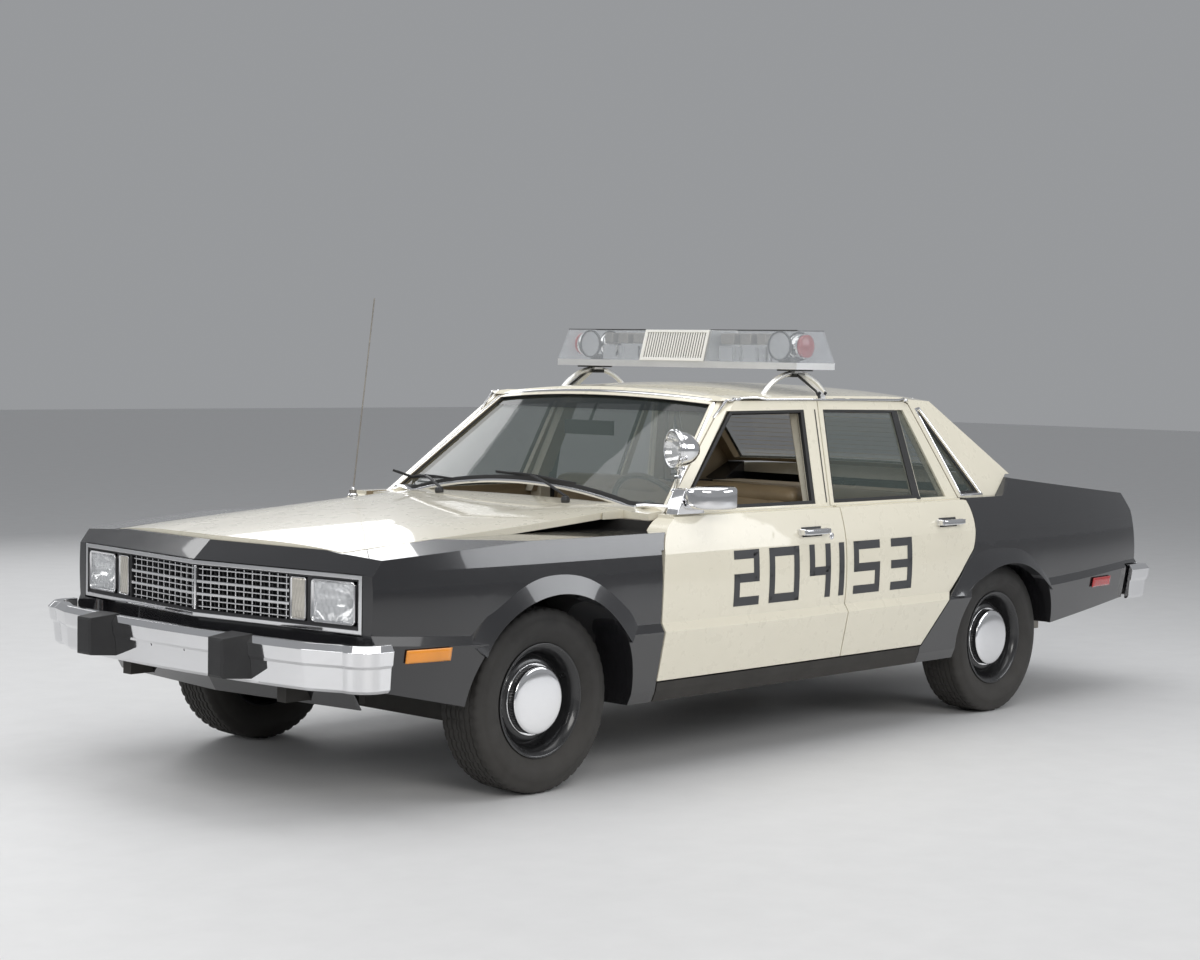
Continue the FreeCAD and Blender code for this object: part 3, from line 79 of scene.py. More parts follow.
area_light("overhead", (0.5, 0.5, 5.2), (0, 0, 0), 7.5, 5.0, 190)
area_light("key", (5.5, 7.5, 4.6), (0.5, 0, 0.6), 5.0, 3.0, 250, (1, 0.98, 0.95))
area_light("side", (-4.5, 7.0, 3.2), (-0.8, 0, 0.7), 4.5, 2.5, 130, (0.95, 0.97, 1))
area_light("far", (-1.5, -7.5, 4.2), (0, 0, 0.6), 7.0, 3.0, 150)
area_light("nose", (8.5, -1.5, 3.2), (1.8, 0, 0.6), 3.5, 2.5, 110)
world = bpy.data.worlds.new("studio")
bpy.context.scene.world = world
world.use_nodes = True
background = world.node_tree.nodes["Background"]
background.inputs["Color"].default_value = (0.82, 0.84, 0.87, 1)
background.inputs["Strength"].default_value = 0.38
bpy.context.scene.view_settings.view_transform = "Standard"


# ------------------------------------------------------------------ materials
def tree_of(name):
    mat = bpy.data.materials.new(name)
    mat.use_nodes = True
    nodes, links = mat.node_tree.nodes, mat.node_tree.links
    return mat, nodes, links, nodes["Principled BSDF"]


def preset(node, **values):
    """Sets a node's inputs, with _ for each space in their names."""
    for name, value in values.items():
        node.inputs[name.replace("_", " ")].default_value = value


def noise(nodes, links, scale, detail=3.0, rough=0.5, stretch=None, kind="ShaderNodeTexNoise"):
    tex = nodes.new(kind)
    preset(tex, Scale=scale)
    if kind == "ShaderNodeTexNoise":
        preset(tex, Detail=detail, Roughness=rough)
    coord = nodes.new("ShaderNodeTexCoord")
    mapping = nodes.new("ShaderNodeMapping")
    if stretch:
        preset(mapping, Scale=stretch)
    links.new(coord.outputs["Object"], mapping.inputs["Vector"])
    links.new(mapping.outputs["Vector"], tex.inputs["Vector"])
    return tex


def ramp_of(nodes, links, source, stops):
    ramp = nodes.new("ShaderNodeValToRGB")
    elements = ramp.color_ramp.elements
    while len(elements) < len(stops):
        elements.new(0.5)
    for element, (place, value) in zip(elements, stops):
        element.position = place
        element.color = value if len(value) == 4 else (*value, 1)
    links.new(source, ramp.inputs["Fac"])
    return ramp.outputs["Color"]


ROAD_FILM = (0.11, 0.10, 0.085, 1)


def grey(v):
    return (v, v, v)


def finish_of(name, colour, rough=0.5, metal=0.0, coat=0.0, coat_rough=0.03, vary=0.06, vary_scale=6.0,
              rough_vary=0.05, rough_scale=18.0, bump=0.0, bump_scale=200.0, bump_kind="ShaderNodeTexNoise",
              distance=0.0005, stretch=None, ior=None, sheen=0.0, alpha=1.0, dirt=0.0, soft_edge=0.0):
    """A Principled material whose colour, roughness and bump vary by noise in object space."""
    mat, nodes, links, shader = tree_of(name)
    shade = noise(nodes, links, vary_scale, 4.0, 0.55)
    low = tuple(max(0.0, c * (1 - vary)) for c in colour)
    high = tuple(min(1.0, c * (1 + vary)) for c in colour)
    result = ramp_of(nodes, links, shade.outputs["Fac"], ((0.3, low), (0.7, high)))
    if dirt:
        # road film that thickens towards the floor
        coord = nodes.new("ShaderNodeTexCoord")
        split = nodes.new("ShaderNodeSeparateXYZ")
        links.new(coord.outputs["Object"], split.inputs[0])
        fall = nodes.new("ShaderNodeMapRange")
        preset(fall, From_Min=0.15, From_Max=0.6, To_Min=dirt, To_Max=0.0)
        links.new(split.outputs["Z"], fall.inputs["Value"])
        mix = nodes.new("ShaderNodeMix")
        mix.data_type = "RGBA"
        links.new(fall.outputs[0], mix.inputs["Factor"])
        links.new(result, mix.inputs["A"])
        mix.inputs["B"].default_value = ROAD_FILM
        result = mix.outputs["Result"]
    links.new(result, shader.inputs["Base Color"])
    worn = noise(nodes, links, rough_scale, 5.0, 0.6, stretch)
    spread = ramp_of(nodes, links, worn.outputs["Fac"], ((0.3, grey(max(0.0, rough - rough_vary))),
                                                         (0.7, grey(min(1.0, rough + rough_vary)))))
    links.new(spread, shader.inputs["Roughness"])
    preset(shader, Metallic=metal, Coat_Weight=coat, Coat_Roughness=coat_rough, Alpha=alpha)
    if sheen:
        preset(shader, Sheen_Weight=sheen, Sheen_Roughness=0.4)
    if ior:
        preset(shader, IOR=ior)
    normal = None
    if soft_edge:
        edge = nodes.new("ShaderNodeBevel")
        edge.samples = 8
        preset(edge, Radius=soft_edge)
        normal = edge.outputs["Normal"]
    if bump:
        relief = noise(nodes, links, bump_scale, 4.0, 0.6, stretch, bump_kind)
        height = relief.outputs["Fac"] if "Fac" in relief.outputs else relief.outputs["Distance"]
        bumps = nodes.new("ShaderNodeBump")
        preset(bumps, Strength=bump, Distance=distance)
        links.new(height, bumps.inputs["Height"])
        if normal:
            links.new(normal, bumps.inputs["Normal"])
        normal = bumps.outputs["Normal"]
    if normal:
        links.new(normal, shader.inputs["Normal"])
    return mat


EDGE = 0.0025
M = {
    "cream": finish_of("cream_paint", (0.80, 0.755, 0.62), 0.28, coat=0.8, vary=0.01, rough_vary=0.015,
                       bump=0.01,
                       bump_scale=600, dirt=0.06, soft_edge=EDGE),
    "black": finish_of("black_paint", (0.012, 0.012, 0.014), 0.2, coat=1.0, vary=0.08, rough_vary=0.015,
                       bump=0.01,
                       bump_scale=600, dirt=0.05, soft_edge=EDGE),
    "under": finish_of("underbody", (0.018, 0.017, 0.016), 0.75, vary=0.3, bump=0.5, bump_scale=90, dirt=0.3),
    "chrome": finish_of("chrome", (0.86, 0.86, 0.87), 0.06, 1.0, vary=0.02, rough_vary=0.03, soft_edge=EDGE),
    # black rubber, and the strip of painted shade in each front door frame's groove
    "rubber": finish_of("black_rubber", (0.02, 0.02, 0.021), 0.55, vary=0.2, bump=0.25, bump_scale=260,
                        soft_edge=EDGE),
    "tyre": finish_of("tyre_rubber", (0.024, 0.023, 0.022), 0.72, vary=0.25, vary_scale=14, bump=0.3,
                      bump_scale=420, dirt=0.2),
    "wheel": finish_of("wheel_paint", (0.014, 0.014, 0.015), 0.3, coat=0.5, vary=0.15, bump=0.1,
                       bump_scale=160),
    "glass": finish_of("window_glass", (0.10, 0.13, 0.12), 0.03, coat=1.0, coat_rough=0.0, vary=0.02,
                       rough_vary=0.01, alpha=0.28, ior=1.5),
    "lens": finish_of("clear_lens", (0.62, 0.65, 0.68), 0.05, coat=1.0, coat_rough=0.0, vary=0.02,
                      rough_vary=0.02,
                      alpha=0.22, ior=1.49),
    "amber": finish_of("amber_lens", (0.85, 0.30, 0.02), 0.14, coat=1.0, vary=0.1, bump=0.6, bump_scale=150,
                       bump_kind="ShaderNodeTexVoronoi"),
    "park": finish_of("park_lens", (0.56, 0.53, 0.47), 0.16, 0.3, coat=1.0, vary=0.08, bump=0.6,
                      bump_scale=120,
                      bump_kind="ShaderNodeTexVoronoi"),
    "red": finish_of("red_lens", (0.42, 0.012, 0.012), 0.14, coat=1.0, vary=0.12, bump=0.6, bump_scale=150,
                     bump_kind="ShaderNodeTexVoronoi"),
    "lamp": finish_of("headlamp_glass", (0.80, 0.82, 0.84), 0.06, coat=1.0, coat_rough=0.0, vary=0.03,
                      bump=0.5,
                      bump_scale=60, bump_kind="ShaderNodeTexVoronoi", alpha=0.35, ior=1.5),
    "mirror": finish_of("reflector", (0.93, 0.93, 0.93), 0.04, 1.0, vary=0.01, rough_vary=0.02),
    "dash": finish_of("dash_vinyl", (0.055, 0.045, 0.028), 0.55, vary=0.12, bump=0.5, bump_scale=380,
                      soft_edge=EDGE),
    "lining": finish_of("lining_cloth", (0.34, 0.265, 0.165), 0.85, vary=0.08, bump=0.5, bump_scale=700,
                        sheen=0.2),
    "vinyl": finish_of("seat_vinyl", (0.33, 0.25, 0.15), 0.42, vary=0.1, vary_scale=9, rough_vary=0.1,
                       bump=0.5,
                       bump_scale=520),
    "carpet": finish_of("carpet", (0.09, 0.066, 0.04), 0.95, vary=0.25, vary_scale=40, bump=1.0,
                        bump_scale=900,
                        distance=0.002, sheen=0.4),
    "strap": finish_of("belt_webbing", (0.018, 0.018, 0.018), 0.8, vary=0.2, bump=0.7, bump_scale=900,
                       sheen=0.3),
    "cast": finish_of("cast_metal", (0.05, 0.048, 0.045), 0.7, 0.4, vary=0.35, bump=0.6, bump_scale=120,
                      dirt=0.2),
    "steel": finish_of("dull_steel", (0.30, 0.28, 0.25), 0.5, 0.9, vary=0.25, rough_vary=0.15, bump=0.3,
                       bump_scale=90),
    "alu": finish_of("satin_aluminium", (0.86, 0.86, 0.85), 0.32, 0.7, vary=0.03, rough_vary=0.03, bump=0.05,
                     bump_scale=300),
    "white": finish_of("white_plastic", (0.80, 0.79, 0.75), 0.35, vary=0.04, bump=0.1, bump_scale=300,
                       soft_edge=0.002),
    "yellow": finish_of("brass_block", (0.42, 0.30, 0.10), 0.4, 0.3, vary=0.3, vary_scale=40, bump=0.3),
    # dark fittings, and the flat sheets of painted shade behind the door handles and the speaker slats
    "dark": finish_of("dark_fitting_and_painted_shade", (0.02, 0.02, 0.022), 0.4, vary=0.2, bump=0.2, bump_scale=300),
    "digits": finish_of("decal_grey", (0.045, 0.046, 0.05), 0.4, vary=0.05, bump=0.05, bump_scale=500),
    "plate": finish_of("blank_plate", (0.75, 0.74, 0.70), 0.4, 0.3, vary=0.04, bump=0.1, bump_scale=200),
    "band": finish_of("shade_band", (0.015, 0.02, 0.02), 0.05, alpha=0.75, vary=0.02, rough_vary=0.01),
}
CAD_FINISHES = {
    # a finish, and how the names of the CAD nodes that wear it start
    "under": "floor_pan boot_floor front_structure", "black": "front_fenders quarter_panels",
    "cream": "roof cowl rear_deck_panel boot_lid hood door_front door_rear", "dark": "lamp_bezel",
    "chrome": "lamp_surround grille front_bumper rear_bumper light_bar_lamps spot_lamp door_mirror " +
              "door_handle", "mirror": "head_lamps", "park": "turn_lamps", "red": "tail_lamps",
              "lens": "light_bar_lens",
    "glass": "window_glass door_glass", "rubber": "bumper_guards wipers interior_mirror",
    "dash": "dashboard steering", "vinyl": "front_seat rear_seat", "alu": "light_bar_base",
    "steel": "radiator exhaust fuel_tank antenna", "cast": "rear_axle front_suspension engine knuckle",
    "tyre": "tyre", "wheel": "wheel",
}
for finish, starts in CAD_FINISHES.items():
    for node, thing in NODES.items():
        for slot in thing.material_slots if node.startswith(tuple(starts.split())) else ():
            slot.material = M[finish]


# ------------------------------------------------------------------ making pieces
MERGE = 2e-5


class Form:
    """The vertices and faces of one piece, in metres in the car's frame, gathered before it is an object."""

    def __init__(self):
        self.verts, self.faces = [], []

    def add(self, verts, faces):
        start = len(self.verts)
        self.verts += [Vector(v) for v in verts]
        self.faces += [tuple(start + i for i in face) for face in faces]
        return self

    def rows(self, rows, around=False, along=False):
        """Quads between rows of points, closed round each row, or from the last row to the first."""
        count, faces = len(rows[0]), []
        for r in range(len(rows) - (not along)):
            after = (r + 1) % len(rows) * count
            for c in range(count - (not around)):
                d = (c + 1) % count
                faces.append((r * count + c, r * count + d, after + d, after + c))
        return self.add([p for row in rows for p in row], faces)

    def loft(self, rows):
        """Quads between closed rows of points, with a face over each end."""
        start, count = len(self.verts), len(rows[0])
        self.rows(rows, around=True)
        for row in (0, len(rows) - 1):
            self.faces.append(tuple(start + row * count + i for i in range(count)))
        return self

    def sheet(self, across, up, point):
        """A sheet of quads, each corner from a function of its shares (across, up) from 0 to 1."""
        return self.rows([[point(i / across, k / up) for i in range(across + 1)] for k in range(up + 1)])

    def sweep(self, path, profile, up=(0, 0, 1), closed=False):
        """A profile of (side, up) points carried along a path, with ends unless the path is closed."""
        path, up, rows, last = [Vector(p) for p in path], Vector(up), [], len(path) - 1
        for i, point in enumerate(path):
            before = path[i - 1] if i or closed else point
            after = path[(i + 1) % len(path)] if i < last or closed else point
            ahead = (after - before).normalized()
            side = ahead.cross(up).normalized()
            top = side.cross(ahead)
            rows.append([point + side * u + top * v for u, v in profile])
        return self.rows(rows, around=True, along=True) if closed else self.loft(rows)

    def tube(self, path, radius, up=(0, 0, 1), sides=10, closed=False):
        return self.sweep(path, ring_profile(radius, sides), up, closed)

    def lathe(self, centre, axis, outline, steps=48):
        """An outline of (along, radius) points turned about an axis."""
        axis = Vector(axis).normalized()
        side = axis.orthogonal().normalized()
        top, rows = axis.cross(side), []
        for i in range(steps):
            turn = math.tau * i / steps
            out = side * math.cos(turn) + top * math.sin(turn)
            rows.append([Vector(centre) + axis * a + out * r for a, r in outline])
        return self.rows(rows, along=True)

    def prism(self, outline, reach):
        count, reach = len(outline), Vector(reach)
        ring = [Vector(p) for p in outline]
        sides = [(i, (i + 1) % count, count + (i + 1) % count, count + i) for i in range(count)]
        return self.add(ring + [p + reach for p in ring],
                        [tuple(range(count)), tuple(range(count, 2 * count))] + sides)

    def box(self, low, high):
        (x0, y0, z0), (x1, y1, z1) = low, high
        return self.prism([(x0, y0, z0), (x1, y0, z0), (x1, y1, z0), (x0, y1, z0)], (0, 0, z1 - z0))

    def mirrored(self):
        other = Form()
        return other.add([(v.x, -v.y, v.z) for v in self.verts], [tuple(reversed(f)) for f in self.faces])

    def both(self):
        other = self.mirrored()
        return self.add(other.verts, other.faces)


def mm(*pairs):
    """An outline given in millimetres, as metres."""
    return [(a * MM, b * MM) for a, b in pairs]


def ring_profile(radius, sides=10):
    return [(radius * math.cos(math.tau * i / sides), radius * math.sin(math.tau * i / sides))
            for i in range(sides)]


def placed(name, mesh):
    thing = bpy.data.objects.new(name, mesh)
    bpy.context.scene.collection.objects.link(thing)
    return thing


def mesh_of(name, form, merge=True, turn=True):
    """A form's mesh, with close points merged and its faces turned outward where asked."""
    mesh, work = bpy.data.meshes.new(name), bmesh.new()
    mesh.from_pydata(form.verts, [], form.faces)
    work.from_mesh(mesh)
    if merge:
        bmesh.ops.remove_doubles(work, verts=work.verts, dist=MERGE)
    if turn:
        bmesh.ops.recalc_face_normals(work, faces=work.faces)
    work.to_mesh(mesh)
    work.free()
    return mesh


def enrol(thing, body, stands_for):
    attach(thing, body)
    if stands_for:
        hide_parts(*stands_for)


def piece(name, form, finish, body="body", bevel=0.0, sharp=40, thick=0.0, stands_for=(), closed=True):
    """Makes the object of a form, finished and riding on its body."""
    mesh = mesh_of(name, form, turn=closed)
    mesh.materials.append(M[finish])
    mesh.shade_smooth()
    mesh.set_sharp_from_angle(angle=math.radians(sharp))
    thing = placed(name, mesh)
    if thick:
        wall = thing.modifiers.new("wall", "SOLIDIFY")
        wall.thickness, wall.offset = thick, 0
    if bevel:
        soft = thing.modifiers.new("edges", "BEVEL")
        soft.width, soft.segments, soft.limit_method, soft.angle_limit = bevel, 2, "ANGLE", math.radians(30)
    enrol(thing, body, stands_for)


def surface(*names):
    """What rays are cast on: these nodes' meshes as one tree."""
    verts, faces = [], []
    for name in names:
        mesh, start = NODES[name].data, len(verts)
        verts += [v.co.copy() for v in mesh.vertices]
        faces += [[start + i for i in p.vertices] for p in mesh.polygons]
    return BVHTree.FromPolygons(verts, faces)


def smooth_line(points, steps=6):
    """A curve through points, as points: a Catmull-Rom line."""
    points = [Vector(p) for p in points]
    line = []
    for i in range(len(points) - 1):
        a, b, c, d = points[max(0, i - 1)], points[i], points[i + 1], points[min(len(points) - 1, i + 2)]
        for s in range(steps):
            t = s / steps
            line.append(0.5 * (2 * b + (c - a) * t + (2 * a - 5 * b + 4 * c - d) * t ** 2
                               + (3 * b - a - 3 * c + d) * t ** 3))
    return line + [points[-1]]


def rim_of(node, wanted):
    """The edge of a pane's outer face: (point, direction away from the pane, normal) round it.

    The face is the largest connected set of the node's faces that pass a test on (centre, normal)."""
    work = bmesh.new()
    work.from_mesh(NODES[node].data)
    bmesh.ops.remove_doubles(work, verts=work.verts, dist=MERGE)
    work.faces.ensure_lookup_table()
    chosen = {f for f in work.faces if wanted(f.calc_center_median(), f.normal)}
    groups = []
    while chosen:
        group, ahead = set(), [chosen.pop()]
        while ahead:
            face = ahead.pop()
            group.add(face)
            near = {other for edge in face.edges for other in edge.link_faces} & chosen
            chosen -= near
            ahead += near
        groups.append(group)
    group = max(groups, key=lambda faces: sum(f.calc_area() for f in faces))
    links = {}
    for face in group:
        for edge in face.edges:
            if sum(f in group for f in edge.link_faces) == 1:
                for a, b in (tuple(edge.verts), tuple(reversed(edge.verts))):
                    links.setdefault(a, []).append(b)
    start = next(iter(links))
    loop, last = [start], None
    while True:
        after = [v for v in links[loop[-1]] if v is not last]
        last = loop[-1]
        if after[0] is start or (len(after) > 1 and after[1] is start and len(loop) > 2):
            break
        loop.append(after[0])
    middle = sum((v.co for v in loop), Vector()) / len(loop)
    rim, count = [], len(loop)
    for i, vert in enumerate(loop):
        normals = [f.normal for f in vert.link_faces if f in group]
        normal = sum(normals, Vector()).normalized()
        before = (vert.co - loop[i - 1].co).normalized()
        after = (loop[(i + 1) % count].co - vert.co).normalized()
        sides = []
        for ahead in (before, after):
            side = ahead.cross(normal).normalized()
            sides.append(side if side.dot(vert.co - middle) > 0 else -side)
        out = (sides[0] + sides[1]).normalized()
        out /= max(0.5, out.dot(sides[0]))
        rim.append((vert.co.copy(), out, normal))
    work.free()
    return rim


def rim_strip(rim, profile):
    """A strip round a pane's rim, from a profile of (away from the pane, out of the surface) points."""
    form = Form()
    return form.rows([[p + out * u + normal * v for u, v in profile] for p, out, normal in rim], True, True)


# ------------------------------------------------------------------ wheels
TREAD_STEPS = 192
TREAD_GROOVE = 0.007
CAP_RIBS = 72


def tyre_form(middle, radius, width, out):
    """A tyre with ribs, crosswise cuts in the tread, and raised rings on its side walls."""
    half = width / 2
    wall = [(half * 0.64, radius * 0.585), (half * 0.80, radius * 0.635), (half * 0.93, radius * 0.70),
            (half * 0.985, radius * 0.745), (half * 0.995, radius * 0.752), (half, radius * 0.81),
            (half * 0.995, radius * 0.868), (half * 0.975, radius * 0.875), (half * 0.95, radius * 0.915),
            (half * 0.88, radius * 0.962)]
    ribs = [0.80, 0.76, 0.60, 0.575, 0.545, 0.52, 0.36, 0.335, 0.305, 0.28, 0.12, 0.095, 0.065, 0.04]
    tread = []
    for number, share in enumerate(ribs):
        groove = number in (3, 4, 7, 8, 11, 12)
        crown = 0.004 * share ** 2
        tread.append((half * share, radius - crown - (TREAD_GROOVE if groove else 0.0), groove))
    left = [(a, r, True) for a, r in wall] + tread
    outline = left + [(-a, r, flat) for a, r, flat in reversed(left)]
    form, rows = Form(), []
    for i in range(TREAD_STEPS):
        turn = math.tau * i / TREAD_STEPS
        row = []
        for a, r, plain in outline:
            cut = not plain and (i + (2 if a > 0.04 else 0) + (1 if abs(a) > 0.06 else 0)) % 4 == 0
            depth = r - (0.005 if cut else 0.0)
            row.append(middle + Vector((math.cos(turn) * depth, a * out, math.sin(turn) * depth)))
        rows.append(row)
    return form.rows(rows, along=True)


RIM_OUTLINE = mm(
    # outward from the wheel's middle, radius
    (-70, 189), (-72, 184), (-62, 172), (-30, 160), (-6, 158), (4, 158), (10, 163), (36, 168), (60, 172),
    (66, 178),
    (69, 186), (73, 191), (77, 191), (78, 188), (75, 183), (69, 174), (62, 168), (40, 161), (16, 157),
    (8, 150),
    (16, 144), (27, 140), (32, 132), (33, 116), (33, 60), (33, 0))
CAP_OUTLINE = mm((33, 121), (37, 122), (39, 120), (39, 113))
BAND_OUTLINE = mm((38, 113), (42, 114), (57, 114), (61, 112))
FACE_OUTLINE = mm((60, 113.5), (63, 113), (66, 109), (67, 104), (68.5, 92), (70, 64), (71.5, 30), (72, 0))
for end in ENDS:
    for side, sign in SIDES:
        place = f"{end}_{side}"
        low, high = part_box(f"tyre_{place}")
        middle = (low + high) / 2
        body = f"wheel_{place}"
        tyre = tyre_form(middle, (high.z - low.z) / 2, high.y - low.y, sign)
        piece(f"tread_tyre_{place}", tyre, "tyre", body, sharp=50, stands_for=[f"tyre_{place}"], closed=False)
        axis = (0, sign, 0)
        rim = Form().lathe(middle, axis, RIM_OUTLINE, 72)
        piece(f"rim_{place}", rim, "wheel", body, sharp=50, stands_for=[f"wheel_{place}"])
        band, rows = Form(), []
        for i in range(CAP_RIBS * 2):
            turn = math.tau * i / (CAP_RIBS * 2)
            out = Vector((math.cos(turn), 0, math.sin(turn)))
            dip = 0.0016 if i % 2 else 0.0
            rows.append([middle + Vector((0, sign * a, 0)) + out * (r - dip) for a, r in BAND_OUTLINE])
        piece(f"cap_band_{place}", band.rows(rows, along=True), "dark", body, sharp=20)
        cap = Form()
        for outline in (CAP_OUTLINE, FACE_OUTLINE):
            cap.lathe(middle, axis, outline, 72)
        piece(f"hub_cap_{place}", cap, "chrome", body, sharp=30)

# ------------------------------------------------------------------ lamps at the nose
surround_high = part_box("lamp_surround")[1]
lamps_low, lamps_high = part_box("head_lamps")
NOSE_TIP_X, NOSE_SIDE_X, NOSE_HALF = surround_high.x, 2.190, surround_high.y


def nose_x(y):
    """The front of the surround: a shallow V in plan."""
    return NOSE_TIP_X + (NOSE_SIDE_X - NOSE_TIP_X) * abs(y) / NOSE_HALF


def nose_point(y, z, ahead):
    return Vector((nose_x(y) + ahead, y, z))


def rounded_box(y0, y1, z0, z1, radius, steps=4):
    """The outline of a rectangle with round corners, as (y, z)."""
    line = []
    for number, (y, z) in enumerate(((y1, z1), (y0, z1), (y0, z0), (y1, z0))):
        cy, cz = y + (radius if y == y0 else -radius), z + (radius if z == z0 else -radius)
        for s in range(steps + 1):
            turn = math.pi / 2 * (number + s / steps)
            line.append((cy + radius * math.cos(turn), cz + radius * math.sin(turn)))
    return line


def lamp_frame(form, y0, y1, z0, z1, width, ahead, depth, radius):
    """A bright frame round a lamp: rings that follow the nose."""
    rows = []
    for grow, out in ((0, -depth), (0, 0), (-width * 0.3, 0.0012), (-width * 0.7, 0), (-width, -0.003),
                      (-width, -depth)):
        outline = rounded_box(y0 - grow, y1 + grow, z0 - grow, z1 + grow, max(0.002, radius + grow))
        rows.append([nose_point(y, z, ahead + out) for y, z in outline])
    return form.rows(rows, around=True)


FLUTE_EDGE = 0.008


def fluted(y0, y1, z0, z1, ahead, flutes, rise, crown):
    """A lamp glass with upright flutes, slightly crowned, within a rounded rectangle."""
    def point(u, v):
        fade = min(1.0, min(u, 1 - u) * (y1 - y0) / FLUTE_EDGE, min(v, 1 - v) * (z1 - z0) / FLUTE_EDGE)
        bow = crown * (1 - (2 * u - 1) ** 2) * (1 - (2 * v - 1) ** 2)
        band = 1 if int(v * 5) % 2 else -1
        flute = rise * fade * math.sin(math.pi * u * flutes) * band
        return nose_point(y0 + (y1 - y0) * u, z0 + (z1 - z0) * v, ahead + bow + flute)

    return Form().sheet(flutes * 4, 24, point)


HEAD_Y, HEAD_Z = (lamps_high.y - 0.186, lamps_high.y), (lamps_low.z, lamps_high.z)
PARK_Y = (0.436, 0.502)
y0, y1, z0, z1 = *HEAD_Y, *HEAD_Z
frames = Form()
lamp_frame(frames, y0, y1, z0, z1, 0.008, 0.000, 0.03, 0.016)
lamp_frame(frames, *PARK_Y, z0, z1, 0.0045, -0.002, 0.02, 0.008)
inner, middle = 0.008, nose_point((y0 + y1) / 2, (z0 + z1) / 2, -0.045)
y0, y1, z0, z1 = y0 + inner, y1 - inner, z0 + inner, z1 - inner
glass = fluted(y0, y1, z0, z1, -0.008, 15, 0.0012, 0.006)


def bowl_point(u, v):
    deep = 0.045 * (1 - min(1, ((2 * u - 1) ** 2 + (2 * v - 1) ** 2) / 1.15))
    return nose_point(y0 + (y1 - y0) * u, z0 + (z1 - z0) * v, -0.014 - deep)


bowls = Form().sheet(18, 14, bowl_point)
bowls.lathe(middle, (1, 0, 0), mm((0, 12), (18, 12), (22, 7), (22, 0)), 16)
parks = fluted(PARK_Y[0] + 0.004, PARK_Y[1] - 0.004, HEAD_Z[0] + 0.004, HEAD_Z[1] - 0.004, -0.006, 9,
               0.0008, 0.003)
piece("lamp_frames", frames.both(), "chrome")
piece("headlamp_bowls", bowls.both(), "mirror", closed=False)
piece("headlamp_glass", glass.both(), "lamp", thick=0.003, stands_for=["head_lamps"], closed=False)
piece("parking_lamp_glass", parks.both(), "park", thick=0.003, closed=False)

SIDE_TREE = surface("front_fenders", "quarter_panels", "turn_lamps", "tail_lamps", "door_front_left",
                    "door_rear_left", "roof")


def on_side(tree, x, z, lift=0.0, sign=1):
    """The point on one side of the body at this place, this far out along its normal, or nothing."""
    place, normal, _, _ = tree.ray_cast(Vector((x, sign * 1.3, z)), Vector((0, -sign, 0)))
    return place + normal * lift if place else None


def side_lamp(x0, x1, z0, z1):
    """A side marker: a ribbed lens that stands proud of the body."""
    def point(u, v):
        edge = min(1.0, min(u, 1 - u) * 12, min(v, 1 - v) * 5)
        x, z = x0 + (x1 - x0) * u, z0 + (z1 - z0) * v
        return Vector((x, on_side(SIDE_TREE, x, z).y + 0.001 + (0.004 + 0.0006 * math.cos(u * 60)) * edge, z))

    return Form().sheet(24, 8, point).both()


piece("side_markers_front", side_lamp(1.914, 2.079, 0.490, 0.532), "amber", stands_for=["turn_lamps"],
      closed=False, thick=0.002)

# ------------------------------------------------------------------ grille depth and fins
GRILLE_LOW, GRILLE_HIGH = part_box("grille")
FIN_COUNT = 22


def upright(corners, form):
    """A bar as tall as the grille, from the (y, ahead) corners of its section."""
    return form.prism([nose_point(y, GRILLE_LOW.z, ahead) for y, ahead in corners],
                      (0, 0, GRILLE_HIGH.z - GRILLE_LOW.z))


fins = Form()
for number in range(FIN_COUNT):
    y = 0.012 + (GRILLE_HIGH.y - 0.016) * (number + 0.5) / FIN_COUNT
    upright([(y, -0.020), (y + 0.003, -0.020), (y + 0.003, -0.045), (y, -0.045)], fins)
backing = upright([(0, -0.052), (0.425, -0.052), (0.425, -0.055), (0, -0.055)], Form())
piece("grille_fins", fins.both(), "dark")
piece("grille_backing", backing.both(), "under")
post = upright(mm((6, -6), (0, -4), (-6, -6), (-6, -30), (6, -30)), Form())
piece("grille_post", post, "chrome", bevel=0.001)

# ------------------------------------------------------------------ window trims and seals
windscreen = rim_of("window_glass", lambda c, n: n.x > 0.3 and c.x > 0.2 and abs(c.y) < 0.75)
backlight = rim_of("window_glass", lambda c, n: n.x < -0.3 and c.x < -0.85)
BRIGHT = mm((4, -6), (4, 11.5), (8, 13.5), (14, 13.5), (18, 11.5), (18, 2))
SEAL = mm((-10, 0), (-10, 3.5), (-4, 6), (5, 6), (5, -4))
PANE_SEAL = mm((-12, 0), (-12, 4), (-3, 7.5), (2, 8.5), (2, -6))
for name, rim in (("windscreen", windscreen), ("backlight", backlight)):
    piece(f"{name}_trim", rim_strip(rim, BRIGHT), "chrome")
    piece(f"{name}_seal", rim_strip(rim, SEAL), "rubber")
for side, sign in SIDES:
    quarter = rim_of("window_glass", lambda c, n: n.y * sign > 0.3 and abs(n.x) < 0.5 and c.y * sign > 0.5
                     and c.x < -0.6)
    piece(f"quarter_trim_{side}", rim_strip(quarter, [(u * 0.7, v) for u, v in BRIGHT]), "chrome")
    piece(f"quarter_seal_{side}", rim_strip(quarter, SEAL), "rubber")
for side, sign in SIDES:
    rear = rim_of(f"door_glass_rear_{side}", lambda c, n: n.y * sign > 0.3)
    piece(f"rear_pane_seal_{side}", rim_strip(rear, PANE_SEAL), "rubber", f"door_rear_{side}")
front_rim = rim_of("door_glass_front_right", lambda c, n: n.y < -0.3)
piece("front_pane_seal_right", rim_strip(front_rim, PANE_SEAL), "rubber", "door_front_right")
OPEN_SEAL = mm((-12, -12), (-12, 2), (-6, 5.5), (2, 7.5), (2, -14))
piece("front_pane_seal_left", rim_strip(front_rim, OPEN_SEAL).mirrored(), "rubber", "door_front_left")

